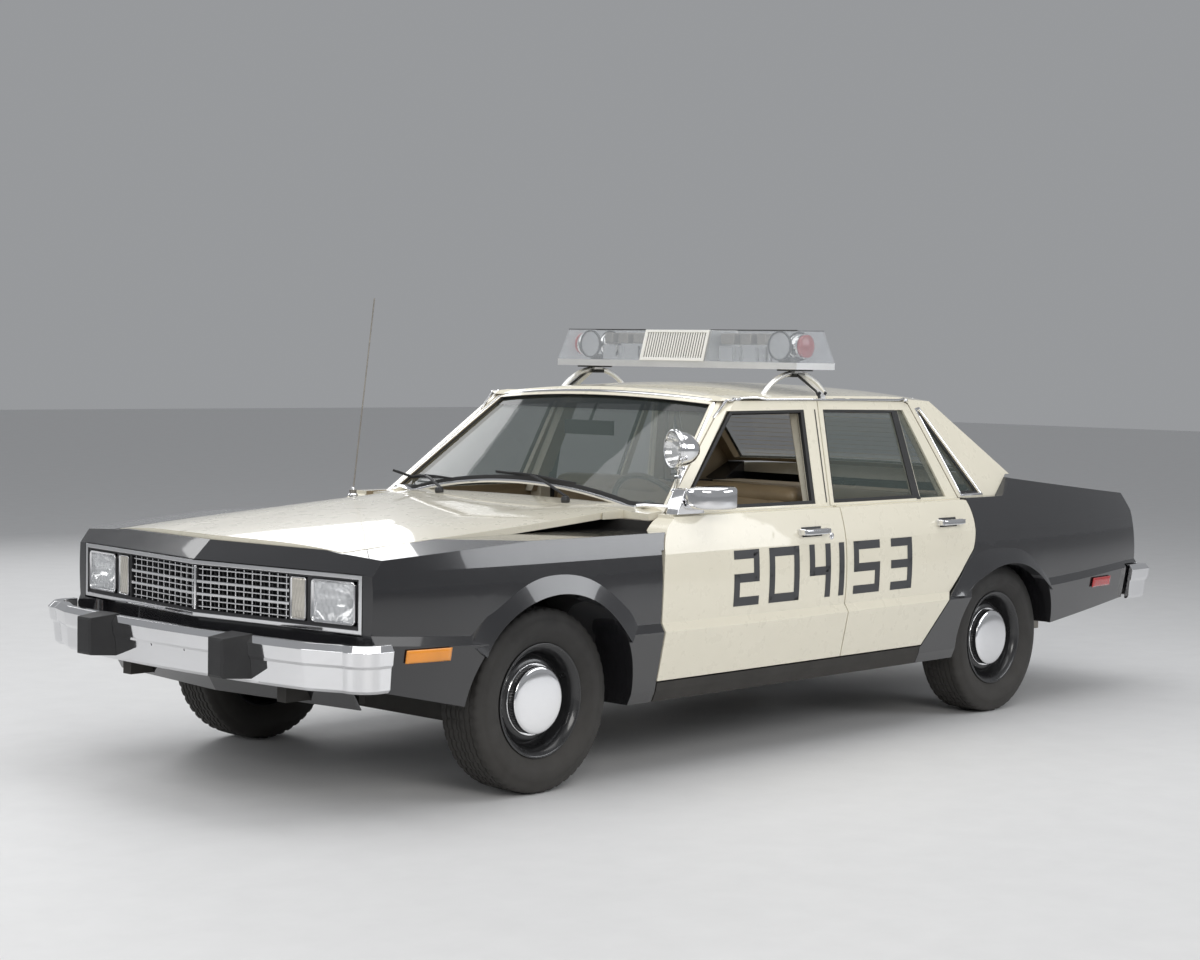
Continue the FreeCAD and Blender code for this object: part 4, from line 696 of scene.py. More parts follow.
# drip rails: the door frames' upper edge as (x, z), carried out over the gap on to the roof
FRAME_LINE = [(0.800, 0.932), (0.688, 0.991), (0.322, 1.279), (0.298, 1.287), (0.250, 1.289), (-0.12, 1.289),
              (-0.55, 1.286), (-0.730, 1.284), (-0.757, 1.276)]
DOOR_TREE = surface("door_front_left", "door_rear_left")
ROOF_TREE = surface("roof")
rail_path = []
for a, b in zip(FRAME_LINE, FRAME_LINE[1:]):
    way = Vector((b[0] - a[0], 0, b[1] - a[1]))
    beyond = Vector((way.z, 0, -way.x)).normalized() * 0.017
    for s in range(6):
        x, z = a[0] + way.x * s / 6, a[1] + way.z * s / 6
        frame_point = on_side(DOOR_TREE, x, z)
        if frame_point:
            place, normal, _, _ = ROOF_TREE.find_nearest(frame_point + beyond)
            rail_path.append(place + normal * 0.002)
RAIL_PROFILE = mm((-4, -4), (3, -4), (4.5, 0), (3, 4), (-4, 4))
piece("drip_rails", Form().sweep(rail_path, RAIL_PROFILE).both(), "chrome", sharp=60)

# the black bar before each rear quarter pane, and a dark strip of painted shade for the groove down the edge
# of each front door's frame
BAR_AND_GROOVE_LINES = {
    # each strip's front edge and rear edge, each as (x, z) below and above
    "rear": (((-0.637, 0.908), (-0.658, 1.256)), ((-0.664, 0.908), (-0.680, 1.256))),
    "front": (((-0.060, 0.915), (-0.136, 1.262)), ((-0.066, 0.915), (-0.142, 1.262))),
}
for side, sign in SIDES:
    for end in ENDS:
        tree, rows = surface(f"door_{end}_{side}"), []
        for k in range(25):
            places = [[a + (b - a) * k / 24 for a, b in zip(low_end, high_end)] for low_end,
                      high_end in BAR_AND_GROOVE_LINES[end]]
            rows.append([on_side(tree, x, z, 0.0012, sign) for x, z in places])
        piece(f"frame_bar_{end}_{side}", Form().rows(rows), "rubber", f"door_{end}_{side}", closed=False)

# ------------------------------------------------------------------ plain digits over both doors
DIGIT_LOW, DIGIT_HIGH, STROKE = 0.570, 0.770, 0.032
SEGMENTS = {
    # strokes of a block digit, as ends in units of (width, height)
    "top": ((0, 1), (1, 1)), "middle": ((0, 0.5), (1, 0.5)), "bottom": ((0, 0), (1, 0)),
    "up_left": ((0, 0.5), (0, 1)), "up_right": ((1, 0.5), (1, 1)),
    "low_left": ((0, 0), (0, 0.5)), "low_right": ((1, 0), (1, 0.5)),
}
DIGITS = {
    2: ("top", "up_right", "middle", "low_left", "bottom"),
    0: ("top", "up_left", "up_right", "low_left", "low_right", "bottom"),
    4: ("up_left", "middle", "up_right", "low_right"),
    1: ("up_right", "low_right"),
    5: ("top", "up_left", "middle", "low_right", "bottom"),
    3: ("top", "up_right", "middle", "low_right", "bottom"),
}
DIGIT_PLACES = {
    # digit, x where it starts, width and door: x falls as the left side is read, and rises on the right side
    "left": ((2, 0.579, 0.141, "front"), (0, 0.381, 0.175, "front"), (4, 0.146, 0.128, "front"),
             (1, 0.034, 0.100, "front"), (5, -0.125, 0.166, "rear"), (3, -0.363, 0.140, "rear")),
    "right": ((2, -0.503, 0.140, "rear"), (0, -0.291, 0.166, "rear"), (4, -0.055, 0.135, "front"),
              (1, 0.065, 0.100, "front"), (5, 0.215, 0.155, "front"), (3, 0.430, 0.141, "front")),
}
DECAL_LIFT = 0.0009


def stroke(form, x0, x1, z0, z1, sign, tree):
    """A rectangle of decal that lies on the door. On the left, x falls from left to right."""
    across, up = max(1, round(abs(x1 - x0) / 0.016)), max(1, round((z1 - z0) / 0.012))
    form.sheet(across, up, lambda u, v: on_side(tree, x0 + (x1 - x0) * u, z0 + (z1 - z0) * v, DECAL_LIFT,
            sign))


for side, sign in SIDES:
    for end in ENDS:
        tree, decal = surface(f"door_{end}_{side}"), Form()
        for digit, start, width, door in DIGIT_PLACES[side]:
            for name in DIGITS[digit] if door == end else ():
                (u0, v0), (u1, v1) = SEGMENTS[name]
                x0, x1 = start - sign * (width - STROKE) * u0, start - sign * ((width - STROKE) * u1 + STROKE)
                low = DIGIT_LOW + (DIGIT_HIGH - DIGIT_LOW - STROKE) * v0
                high = DIGIT_LOW + (DIGIT_HIGH - DIGIT_LOW - STROKE) * v1 + STROKE
                stroke(decal, x0, x1, low, high, sign, tree)
        piece(f"digits_{end}_{side}", decal, "digits", f"door_{end}_{side}", closed=False)

# ------------------------------------------------------------------ door handles and locks
GRIP_SECTION = ((-0.010, -0.010), (-0.003, -0.012), (0, -0.009), (0, 0.006), (-0.004, 0.011), (-0.012, 0.011))
LOCK_X, LOCK_Z = 0.007, 0.796
for side, sign in SIDES:
    for end in ENDS:
        body = f"door_{end}_{side}"
        low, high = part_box(f"door_handle_{end}_{side}")
        tree = surface(body)
        y_out, mid_z = max(abs(low.y), abs(high.y)), (low.z + high.z) / 2
        y_in = abs(on_side(tree, (low.x + high.x) / 2, mid_z, sign=sign).y)
        x0, x1, rows = low.x, high.x, []
        for i in range(25):
            u = i / 24
            x = x0 + (x1 - x0) * u
            rise = (1 - abs(2 * u - 1) ** 6) ** 0.5
            out = y_in + (y_out - y_in) * (0.25 + 0.75 * rise)
            rows.append([(x, sign * (out + dy), mid_z + dz) for dy, dz in GRIP_SECTION])
        grip = Form().loft(rows)
        for x in (x0 + 0.012, x1 - 0.012):
            grip.box((x - 0.010, sign * (y_in - 0.004), mid_z - 0.009),
                     (x + 0.010, sign * (y_out - 0.004), mid_z + 0.009))
        piece(f"handle_{end}_{side}", grip, "chrome", body, bevel=0.0015,
              stands_for=[f"door_handle_{end}_{side}"])
        # a dark sheet laid flat on the door behind each grip: painted shade for a recess
        shade = Form().sheet(12, 4, lambda u, v: on_side(tree, x0 + 0.022 + (x1 - x0 - 0.044) * u,
                                                         mid_z - 0.020 + 0.036 * v, 0.0006, sign))
        piece(f"handle_painted_shade_{end}_{side}", shade, "dark", body, closed=False)
        if end == "front":
            lock = Form().lathe(on_side(tree, LOCK_X, LOCK_Z, sign=sign), (0, sign, 0),
                                mm((-2, 13), (3, 13), (4, 11), (4, 7), (2.5, 6), (2.5, 0)), 24)
            piece(f"door_lock_{side}", lock, "chrome", body)

# ------------------------------------------------------------------ linings inside the roof, doors and cabin
CABIN_MIDDLE = Vector((-0.25, 0, 1.0))


def lining(name, nodes, wanted, finish, body, lift=0.0015):
    """A thin lining over the faces of CAD nodes that pass a test on (centre, normal)."""
    form = Form()
    for node in nodes:
        mesh = NODES[node].data
        for poly in mesh.polygons:
            if wanted(poly.center, poly.normal):
                form.add([mesh.vertices[i].co + poly.normal * lift for i in poly.vertices],
                         [tuple(range(len(poly.vertices)))])
    piece(name, form, finish, body, closed=False, sharp=30)


def faces_cabin(centre, normal):
    toward = CABIN_MIDDLE - centre
    return centre.z > 0.86 and normal.dot(toward.normalized()) > 0.30 and abs(centre.y) < 0.80


lining("cabin_lining", ["roof"], faces_cabin, "lining", "body")
for side, sign in SIDES:
    for end in ENDS:
        lining(f"door_card_{end}_{side}", [f"door_{end}_{side}"],
               lambda c, n, sign=sign: n.y * sign < -0.5 and c.y * sign < 0.80, "lining",
               f"door_{end}_{side}")
lining("cabin_carpet", ["floor_pan"], lambda c, n: c.z > 0.285 and n.z > 0.5 and abs(c.y) < 0.74
       and c.x < 0.89,
       "carpet", "body")
lining("boot_mat", ["boot_floor"], lambda c, n: c.z > 0.42 and n.z > 0.5 and c.x < -1.12, "carpet", "body")

# ------------------------------------------------------------------ seats
SEAT_VOXEL = 0.013
PUFF_CAP = 0.016


def seat_form(outline, half, bow):
    """A closed pad across the car from an (x, z) outline, its ends pulled in."""
    rows, (mid_x, mid_z) = [], (sum(line) / len(line) for line in zip(*outline))
    for share in (-1, -0.97, -0.9, -0.6, -0.3, 0, 0.3, 0.6, 0.9, 0.97, 1):
        pull, rise = {1: 0.55, 0.97: 0.86}.get(abs(share), 1.0), bow * (1 - share ** 2)
        rows.append([(mid_x + (x - mid_x) * pull, share * half, mid_z + (z - mid_z) * pull + rise) for x,
                     z in outline])
    return Form().loft(rows)


def stuffed(name, form, seams, stands_for=()):
    """A pad blown up by cloth simulation between its sewn seams. A seam is a test that a point is on it."""
    rough = placed(name + "_rough", mesh_of(name + "_rough", form, merge=False))
    voxels = rough.modifiers.new("voxels", "REMESH")
    voxels.mode, voxels.voxel_size, voxels.use_smooth_shade = "VOXEL", SEAT_VOXEL, True
    softened = rough.modifiers.new("softened", "SMOOTH")
    softened.iterations, softened.factor = 6, 0.6
    made = bpy.data.meshes.new_from_object(rough.evaluated_get(bpy.context.evaluated_depsgraph_get()))
    bpy.data.objects.remove(rough)
    made.name = name
    thing = placed(name, made)
    start = [v.co.copy() for v in made.vertices]
    sewn = [i for i, co in enumerate(start) if seams(co)]
    pins = thing.vertex_groups.new(name="seams")
    pins.add(sewn, 1.0, "REPLACE")
    cloth = thing.modifiers.new("cloth", "CLOTH")
    settings = cloth.settings
    settings.quality, settings.mass = 4, 0.3
    settings.use_pressure, settings.uniform_pressure_force = True, 4
    settings.effector_weights.gravity = 0
    settings.vertex_group_mass = "seams"
    cloth.point_cache.frame_end = 20
    for number in range(1, 21):
        bpy.context.scene.frame_set(number)
    blown = thing.evaluated_get(bpy.context.evaluated_depsgraph_get()).data
    ends = [v.co.copy() for v in blown.vertices]
    thing.modifiers.remove(cloth)
    bpy.context.scene.frame_set(1)
    for vert, before, after in zip(made.vertices, start, ends):
        move = after - before
        vert.co = before + (move * (PUFF_CAP / move.length) if move.length > PUFF_CAP else move)
    thing.vertex_groups.clear()
    made.materials.clear()
    made.materials.append(M["vinyl"])
    made.shade_smooth()
    enrol(thing, "body", stands_for)


def channels(spacing, half, low_z):
    """Sewn channels fore and aft, or up the backrest, this far apart."""
    def on_seam(co):
        near = abs((co.y / spacing) - round(co.y / spacing)) * spacing
        return near < SEAT_VOXEL * 0.55 and abs(co.y) < half * 0.88 and co.z > low_z

    return on_seam


SEAT_GAP, CHANNEL_PITCH = 0.012, 0.165
FRONT_HALF, REAR_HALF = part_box("front_seat")[1].y - SEAT_GAP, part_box("rear_seat")[1].y - SEAT_GAP
front_cushion = [(-0.04, 0.305), (0.42, 0.305), (0.462, 0.36), (0.468, 0.44), (0.42, 0.478), (0.20, 0.462),
                 (-0.02, 0.448),
                 (-0.06, 0.38)]
front_back = [(-0.075, 0.40), (0.025, 0.455), (-0.005, 0.60), (-0.055, 0.78), (-0.068, 0.905),
              (-0.082, 0.938), (-0.115, 0.950),
              (-0.15, 0.935), (-0.158, 0.90), (-0.142, 0.70), (-0.105, 0.48)]
rear_cushion = [(-0.98, 0.305), (-0.50, 0.305), (-0.445, 0.35), (-0.440, 0.42), (-0.475, 0.465),
                (-0.62, 0.462),
                (-0.84, 0.438), (-0.99, 0.43)]
rear_back = [(-1.005, 0.44), (-0.845, 0.455), (-0.875, 0.60), (-0.935, 0.80), (-0.965, 0.875),
             (-1.005, 0.905), (-1.045, 0.895),
             (-1.062, 0.86), (-1.045, 0.70), (-1.035, 0.55)]
for end, half, cushion, back in (("front", FRONT_HALF, front_cushion, front_back),
                                 ("rear", REAR_HALF, rear_cushion, rear_back)):
    stuffed(f"{end}_seat_cushion", seat_form(cushion, half, 0.004), channels(CHANNEL_PITCH, half, 0.44))
    stuffed(f"{end}_seat_back", seat_form(back, half, 0.006), channels(CHANNEL_PITCH, half, 0.5),
            [f"{end}_seat"])
bolster = [(-0.095, 0.895), (-0.062, 0.905), (-0.058, 0.935), (-0.080, 0.957), (-0.118, 0.963),
           (-0.150, 0.95), (-0.163, 0.92),
           (-0.155, 0.89), (-0.125, 0.88)]
for side, sign in SIDES:
    form = seat_form(bolster, 0.30, 0.0)
    for vert in form.verts:
        vert.y += sign * 0.345
    stuffed(f"seat_roll_{side}", form, lambda co: False)

# ------------------------------------------------------------------ dash, wheel, belts and shelf
d_low, d_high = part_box("dashboard")
pad_profile = [(0.874, 0.879), (0.80, 0.884), (0.70, 0.880), (0.655, 0.866), (0.636, 0.838), (0.640, 0.815),
               (0.665, 0.80)]
pad, rows = Form(), []
for k in range(33):
    y = d_low.y + 0.004 + (d_high.y - d_low.y - 0.008) * k / 32
    hood = max(0.0, 1 - ((y - 0.38) / 0.24) ** 4) * 0.030
    rows.append([(x - hood * (0.9 if x < 0.72 else 0.0), y, z
                  + (hood if 0.64 < x < 0.78 else 0.0) - (0.012 if x < 0.66 else 0))
                 for x, z in pad_profile])
piece("dash_pad", pad.rows(rows), "dash", thick=0.004, closed=False, sharp=60)
dials = Form()
for y, r in ((0.30, 0.048), (0.44, 0.048), (0.37, 0.022)):
    dials.lathe((0.652, y, 0.765), (-1, 0, 0.12), [(0, 0), (0.001, r - 0.004), (0.006, r - 0.002),
            (0.006, r), (-0.004, r)], 32)
piece("dash_dials", dials, "dark")

w_low, w_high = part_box("steering_wheel")
wheel_middle = (w_low + w_high) / 2
SHAFT_TURN = math.radians(152)
shaft = Vector((math.cos(SHAFT_TURN), 0, math.sin(SHAFT_TURN)))
pad_form = Form().lathe(wheel_middle, shaft, mm((0, 0), (4, 68), (14, 66), (26, 50), (30, 0)), 32)
piece("horn_pad", pad_form, "dash", "steering_wheel")

belts = Form()
for side, sign in SIDES:
    top, low_end = (-0.135, sign * 0.665, 1.215), (-0.115, sign * 0.725, 0.60)
    line = smooth_line([top, (-0.128, sign * 0.692, 1.05), (-0.118, sign * 0.715, 0.85), low_end], 5)
    belts.sweep(line, mm((-22, -1.5), (22, -1.5), (22, 1.5), (-22, 1.5)), up=(0, 1, 0))
piece("seat_belts", belts, "strap")
shelf = Form().box((-1.285, -0.636, 0.892), (-1.09, 0.636, 0.902))
piece("parcel_shelf", shelf, "lining", bevel=0.003)


# the shade band along the top of the windscreen, just inside the glass, and the rear window's heating wires
def pane_grid(rim, lift, up0, up1, across, rows_up, half_share):
    """Rows of points on a pane between two shares of its height, lifted along its normal."""
    top_z, low_z = max(p.z for p, _, _ in rim), min(p.z for p, _, _ in rim)
    normal = sum((n for _, _, n in rim), Vector()).normalized()
    tree = surface("window_glass")
    grid = []
    for k in range(rows_up + 1):
        z = low_z + (top_z - low_z) * (up0 + (up1 - up0) * k / rows_up)
        line = []
        left = edge_y(rim, z) * half_share
        for i in range(across + 1):
            y = -left + 2 * left * i / across
            start = Vector((2.0 if normal.x > 0 else -2.2, y, z))
            place, _, _, _ = tree.ray_cast(start, Vector((-1 if normal.x > 0 else 1, 0, 0)))
            line.append(place + normal * lift)
        grid.append(line)
    return grid


def edge_y(rim, z):
    """Half the width of a pane at this height."""
    best = 0.0
    count = len(rim)
    for i in range(count):
        a, b = rim[i][0], rim[(i + 1) % count][0]
        if a.y > 0 and b.y > 0 and min(a.z, b.z) <= z <= max(a.z, b.z) and abs(a.z - b.z) > 1e-6:
            best = max(best, a.y + (b.y - a.y) * (z - a.z) / (b.z - a.z))
    return best or max(p.y for p, _, _ in rim)


band = Form().rows(pane_grid(windscreen, 0.0006, 0.86, 0.985, 24, 4, 0.99))
piece("windscreen_band", band, "band", closed=False)
wires = Form()
for k in range(13):
    share = 0.10 + 0.80 * k / 12
    line = pane_grid(backlight, -0.0074, share, share + 0.001, 20, 1, 0.93)[0]
    wires.tube(line, 0.0006, sides=4)
piece("heating_wires", wires, "yellow")

# ------------------------------------------------------------------ light bar
base_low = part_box("light_bar_base")[0]
lens_low, lens_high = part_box("light_bar_lens")
BAR_X = (lens_low.x + lens_high.x) / 2
BAR_HALF, BAR_TOP, BAR_FLOOR = lens_high.y, lens_high.z, lens_low.z
BAR_D = (lens_high.x - lens_low.x) / 2
SPEAKER_HALF, LEAN = 0.170, 0.038


def bar_face(y, up, ahead=0.0, facing=1):
    """A point on the bar's leaning front or back face."""
    reach = BAR_D - LEAN * up + ahead
    return Vector((BAR_X + facing * reach, y, BAR_FLOOR + (BAR_TOP - BAR_FLOOR) * up))


SLOTS_ACROSS, SLAT_HALF = 24, 0.0038
speaker, slats, painted_depth_shade = Form(), Form(), Form()


def bar_panel(y0, y1, v0, v1, facing, lift=0.0005):
    """The corners of a rectangle on the bar's front or back face."""
    return [bar_face(y, v, lift, facing) for y, v in ((y0, v0), (y1, v0), (y1, v1), (y0, v1))]


for facing in (1, -1):
    y_edge = SPEAKER_HALF - 0.012
    for y0, y1, v0, v1 in ((-SPEAKER_HALF, SPEAKER_HALF, 0.0, 0.10),
                           (-SPEAKER_HALF, SPEAKER_HALF, 0.90, 0.985),
                           (-SPEAKER_HALF, -y_edge, 0.10, 0.90), (y_edge, SPEAKER_HALF, 0.10, 0.90)):
        speaker.prism(bar_panel(y0, y1, v0, v1, facing), (0.006 * facing, 0, 0))
    for number in range(SLOTS_ACROSS + 1):
        y = -y_edge + 2 * y_edge * number / SLOTS_ACROSS
        slats.prism(bar_panel(y - SLAT_HALF, y + SLAT_HALF, 0.09, 0.91, facing), (0.0045 * facing, 0, 0))
    # a dark sheet on the face under the slats: painted shade for the depth behind them
    painted_depth_shade.add(bar_panel(-y_edge, y_edge, 0.1, 0.9, facing, 0.0004), [(0, 1, 2, 3)])
piece("speaker_frame", speaker, "white", bevel=0.001)
piece("speaker_slats", slats, "white", bevel=0.0008)
piece("speaker_painted_shade", painted_depth_shade, "dark", closed=False)

BEACON_Y, BEACON_Z, MIRROR_HALF = 0.505, BAR_FLOOR + 0.064, 0.026
BULB_OUTLINE = mm((2, 10), (12, 30), (40, 50), (48, 52.5), (50, 51), (50, 0))
RING_OUTLINE = mm((44, 52.5), (44, 57.5), (53, 57.5), (53, 51.5))
END_LAMP_OUTLINE = mm((0, 44), (10, 46), (18, 44), (24, 30), (26, 0))
rings, bulbs, plates, blocks, reds, motors = Form(), Form(), Form(), Form(), Form(), Form()
for sign in (1, -1):
    y = sign * BEACON_Y
    for facing in (1, -1):
        middle = Vector((BAR_X + facing * 0.012, y, BEACON_Z))
        bulbs.lathe(middle, (facing, 0, 0), BULB_OUTLINE, 36)
        rings.lathe(middle, (facing, 0, 0), RING_OUTLINE, 36)
    motors.box((BAR_X - 0.03, y - 0.03, BAR_FLOOR), (BAR_X + 0.03, y + 0.03, BAR_FLOOR + 0.022))
    # upright mirrors in a V beside the lamps, and flasher blocks above them
    for y0, turn in ((0.405, 0.5), (0.345, -0.5), (0.285, 0.5), (0.225, -0.5)):
        for facing in (1, -1):
            dx, dy = math.sin(turn) * MIRROR_HALF, math.cos(turn) * MIRROR_HALF
            a = Vector((BAR_X + facing * (0.050 - dx), sign * (y0 - dy), BAR_FLOOR + 0.002))
            b = Vector((BAR_X + facing * (0.050 + dx), sign * (y0 + dy), BAR_FLOOR + 0.002))
            side_way = Vector((0.002 * facing, 0, 0))
            plates.prism([a, b, b + side_way, a + side_way], (0, 0, 0.058))
    for y0, y1 in ((0.20, 0.27), (0.30, 0.355), (0.385, 0.43)):
        blocks.box((BAR_X - 0.055, sign * y0, BAR_FLOOR + 0.068), (BAR_X + 0.055, sign * y1, BAR_TOP - 0.014))
    # the round red lamp that looks out of the end
    reds.lathe((BAR_X + 0.01, sign * (BAR_HALF - 0.052), BEACON_Z), (0, sign, 0), END_LAMP_OUTLINE, 36)
    plates.lathe((BAR_X + 0.01, sign * (BAR_HALF - 0.060), BEACON_Z), (0, sign, 0),
                 mm((0, 0), (0, 47), (9, 47)), 36)
piece("beacon_bulbs", bulbs, "mirror", stands_for=["light_bar_lamps"], sharp=35)
piece("beacon_rings", rings, "dark")
piece("beacon_motors", motors, "dark", bevel=0.003)
piece("bar_mirrors", plates, "mirror", sharp=35)
piece("flasher_blocks", blocks, "steel", bevel=0.004)
piece("end_lamps", reds, "red")
lid_edge = Form()
for facing in (1, -1):
    lid_edge.tube([bar_face(y, 0.99, 0.0005, facing) for y in (SPEAKER_HALF + 0.003, BAR_HALF - 0.028)],
                  0.0018,
                  sides=6)
piece("bar_edges", lid_edge.both(), "dark")
# black clamps between the bar and its arched feet
FOOT_Y = 0.535
clamps, bolts = Form(), Form()
for sign in (1, -1):
    y = sign * FOOT_Y
    clamps.box((BAR_X - 0.030, y - 0.027, 1.384), (BAR_X + 0.030, y + 0.027, base_low.z + 0.094))
    clamps.box((BAR_X - 0.070, y - 0.035, 1.4075), (BAR_X + 0.070, y + 0.035, 1.4138))
    for dx in (-0.018, 0.018):
        bolts.lathe((BAR_X + dx, sign * 0.668, 1.320), (0, sign * 0.6, 0.8),
                    mm((0, 0), (0, 6), (10, 6), (10, 0)), 6)
    strap = ((0.560, 1.393), (0.655, 1.333), (0.672, 1.306))
    clamps.tube([(BAR_X + 0.020, sign * y, z) for y, z in strap], 0.005, sides=8)
piece("bar_clamps", clamps, "rubber", bevel=0.002)
piece("strap_bolts", bolts, "dark")

# ------------------------------------------------------------------ spot lamp
SPOT = Vector((0.735, 0.722, 1.127))
SPOT_TURN = math.radians(23)
SPOT_WAY = Vector((math.cos(SPOT_TURN), -math.sin(SPOT_TURN), 0))
SPOT_OUTLINE = mm(
    # the shell from its back to its rim, then the hollow
    (-104, 0), (-103, 12), (-96, 28), (-80, 45), (-55, 59), (-30, 65), (-22, 66), (-21, 70), (-15, 71.5),
    (-12, 70), (-11, 67), (-8, 67), (-7, 70.5), (-1, 71), (2, 68), (2, 63), (-2, 61))
spot = Form().lathe(SPOT, SPOT_WAY, SPOT_OUTLINE, 64)
spot.tube([(0.700, 0.735, 1.078), (0.690, 0.712, 1.02), (0.682, 0.694, 0.968)], 0.0085, sides=16)
spot.lathe((0.704, 0.736, 1.056), (0.1, -0.1, 1), mm((-4, 0), (-4, 16), (8, 18), (20, 14), (22, 0)), 24)
spot.lathe((0.694, 0.716, 1.028), (0.4, 0.9, 0.1), mm((-16, 0), (-16, 8), (16, 8), (16, 0)), 16)
spot.lathe((0.683, 0.697, 0.975), (0.1, 0.4, 0.9), mm((-12, 0), (-10, 20), (2, 18), (10, 12), (12, 0)), 24)
piece("spot_lamp_shell", spot, "chrome", stands_for=["spot_lamp"], sharp=35)
spot_bowl = Form().lathe(SPOT, SPOT_WAY, mm((-62, 0), (-58, 20), (-45, 40), (-22, 55), (-3, 61.5)), 48)
spot_bowl.lathe(SPOT - SPOT_WAY * 0.05, SPOT_WAY, mm((0, 9), (30, 9), (34, 6), (34, 0)), 20)
piece("spot_lamp_bowl", spot_bowl, "mirror", closed=False, sharp=60)
spot_glass = Form().lathe(SPOT, SPOT_WAY, mm((-1, 62.5), (3, 45), (6, 20), (6.5, 0)), 48)
piece("spot_lamp_glass", spot_glass, "lamp", closed=False)

# ------------------------------------------------------------------ wipers
GLASS_TREE = surface("window_glass")
SCREEN_WAY = sum((normal for _, _, normal in windscreen), Vector())
SCREEN_WAY = Vector((SCREEN_WAY.x, 0, SCREEN_WAY.z)).normalized()
SCREEN_UP = Vector((-SCREEN_WAY.z, 0, SCREEN_WAY.x)) / SCREEN_WAY.x
SCREEN_LOW = min((point for point, _, _ in windscreen), key=lambda point: abs(point.y) + point.z * 10)


def on_screen(y, z, lift):
    """A point this far above the windscreen, at this height and side."""
    z = max(z, SCREEN_LOW.z)
    start = SCREEN_LOW + Vector((0, y - SCREEN_LOW.y, 0)) + SCREEN_UP * (z - SCREEN_LOW.z)
    place, _, _, _ = GLASS_TREE.ray_cast(start + SCREEN_WAY * 0.3, -SCREEN_WAY)
    return (place or start) + SCREEN_WAY * lift


def bar_section(half, top_half, low, high):
    """The section of a bar that narrows towards its top."""
    return [(-half, low), (half, low), (top_half, high), (-top_half, high)]


BLADE_TILT = -0.012
YOKE_LIFTS = ((-0.62, 0.009), (-0.45, 0.016), (-0.2, 0.020), (0, 0.022), (0.2, 0.020), (0.45, 0.016),
              (0.62, 0.009))
wiper, blades = Form(), Form()
for pivot_y, mid_y, mid_z, reach in ((0.345, 0.085, 0.985, 0.215), (-0.325, -0.535, 0.972, 0.20)):
    def along_blade(lifts):
        """Points over the blade, from (share of its half length, lift off the glass)."""
        return [on_screen(mid_y + share * reach, mid_z + share * BLADE_TILT, lift) for share, lift in lifts]

    pivot, middle = Vector((0.884, pivot_y, 0.935)), on_screen(mid_y, mid_z, 0.020)
    wiper.lathe(pivot - Vector((0, 0, 0.012)), (0.2, 0, 1),
                mm((0, 0), (0, 16), (12, 17), (22, 12), (24, 0)), 24)
    elbow = pivot.lerp(middle, 0.5) + Vector((0.010, 0, 0.014))
    arm = smooth_line([pivot + Vector((0, 0, 0.010)), elbow, middle], 6)
    wiper.sweep(arm, bar_section(0.006, 0.005, -0.002, 0.003))
    blade = along_blade([(share, 0.006) for share in (-1, -0.66, -0.33, 0, 0.33, 0.66, 1)])
    blades.sweep(blade, bar_section(0.002, 0.003, -0.005, 0.004))
    wiper.sweep(along_blade(YOKE_LIFTS), bar_section(0.004, 0.003, -0.002, 0.003))
    for start in (-0.62, 0.62):
        small = along_blade([(start - 0.25, 0.007), (start, 0.012), (start + 0.25, 0.007)])
        wiper.sweep(small, bar_section(0.0035, 0.0025, -0.0015, 0.002))
piece("wiper_arms", wiper, "dark", stands_for=["wipers"], sharp=30)
piece("wiper_blades", blades, "rubber")

# ------------------------------------------------------------------ door mirror, antenna, tail and plates
shell, rows = Form(), []
MIRROR_ROWS = (
    # x, inner y, outer y, bottom z, top z, corner radius: the head from its nose to its rim, then the hollow
    (0.8050, 0.850, 0.862, 0.940, 0.986, 0.006), (0.8010, 0.848, 0.882, 0.932, 0.994, 0.012),
    (0.7900, 0.847, 0.906, 0.926, 1.000, 0.018), (0.7700, 0.847, 0.927, 0.923, 1.003, 0.022),
    (0.7400, 0.847, 0.944, 0.922, 1.004, 0.022), (0.7000, 0.847, 0.954, 0.922, 1.004, 0.020),
    (0.6520, 0.847, 0.955, 0.922, 1.004, 0.016), (0.6480, 0.849, 0.953, 0.924, 1.002, 0.014),
    (0.6480, 0.853, 0.949, 0.928, 0.998, 0.011), (0.6540, 0.854, 0.948, 0.929, 0.997, 0.010),
)
for x, inner_y, outer_y, low_z, high_z, corner in MIRROR_ROWS:
    rows.append([Vector((x, y, z)) for y, z in rounded_box(inner_y, outer_y, low_z, high_z, corner, 6)])
shell.rows(rows, around=True)
shell.faces.append(tuple(range(len(rows[0]))))
# the sail at the window's corner leans inward as it rises; it has no inner face, as it stands on the door
sail = [(0.850, 0.907), (0.706, 0.907), (0.706, 0.955), (0.722, 0.980), (0.770, 0.994), (0.792, 0.986)]
shell.add([Vector((x, y - 0.020 * (z - 0.907) / 0.09, z)) for y in (0.852, 0.800) for x, z in sail],
          [tuple(range(6))] + [(i, (i + 1) % 6, 6 + (i + 1) % 6, 6 + i) for i in range(6)])
piece("mirror_shell", shell, "chrome", "door_front_left", stands_for=["door_mirror"], sharp=35)
glass_ring = [(0.6525, y, z) for y, z in rounded_box(0.853, 0.949, 0.928, 0.998, 0.011)]
mirror_glass = Form().prism(glass_ring, (0.002, 0, 0))
piece("mirror_glass", mirror_glass, "mirror", "door_front_left")
a_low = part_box("antenna")[0]
aerial = Form().lathe((0.995, -0.700, a_low.z + 0.004), (0, 0, 1),
                      mm((0, 0), (0, 20), (4, 20), (12, 12), (30, 7), (34, 4), (34, 0)), 24)
piece("antenna_base", aerial, "chrome")

LAMP_IN, LAMP_OUT = 0.300, 0.630


def tail_x(z):
    """The tail panel's rear face at this height."""
    return -2.290 - 0.048 * (0.803 - z) / (0.803 - 0.574)



def on_tail(y, z, out):
    """A point this far behind the tail panel."""
    return Vector((tail_x(z) - out, y, z))


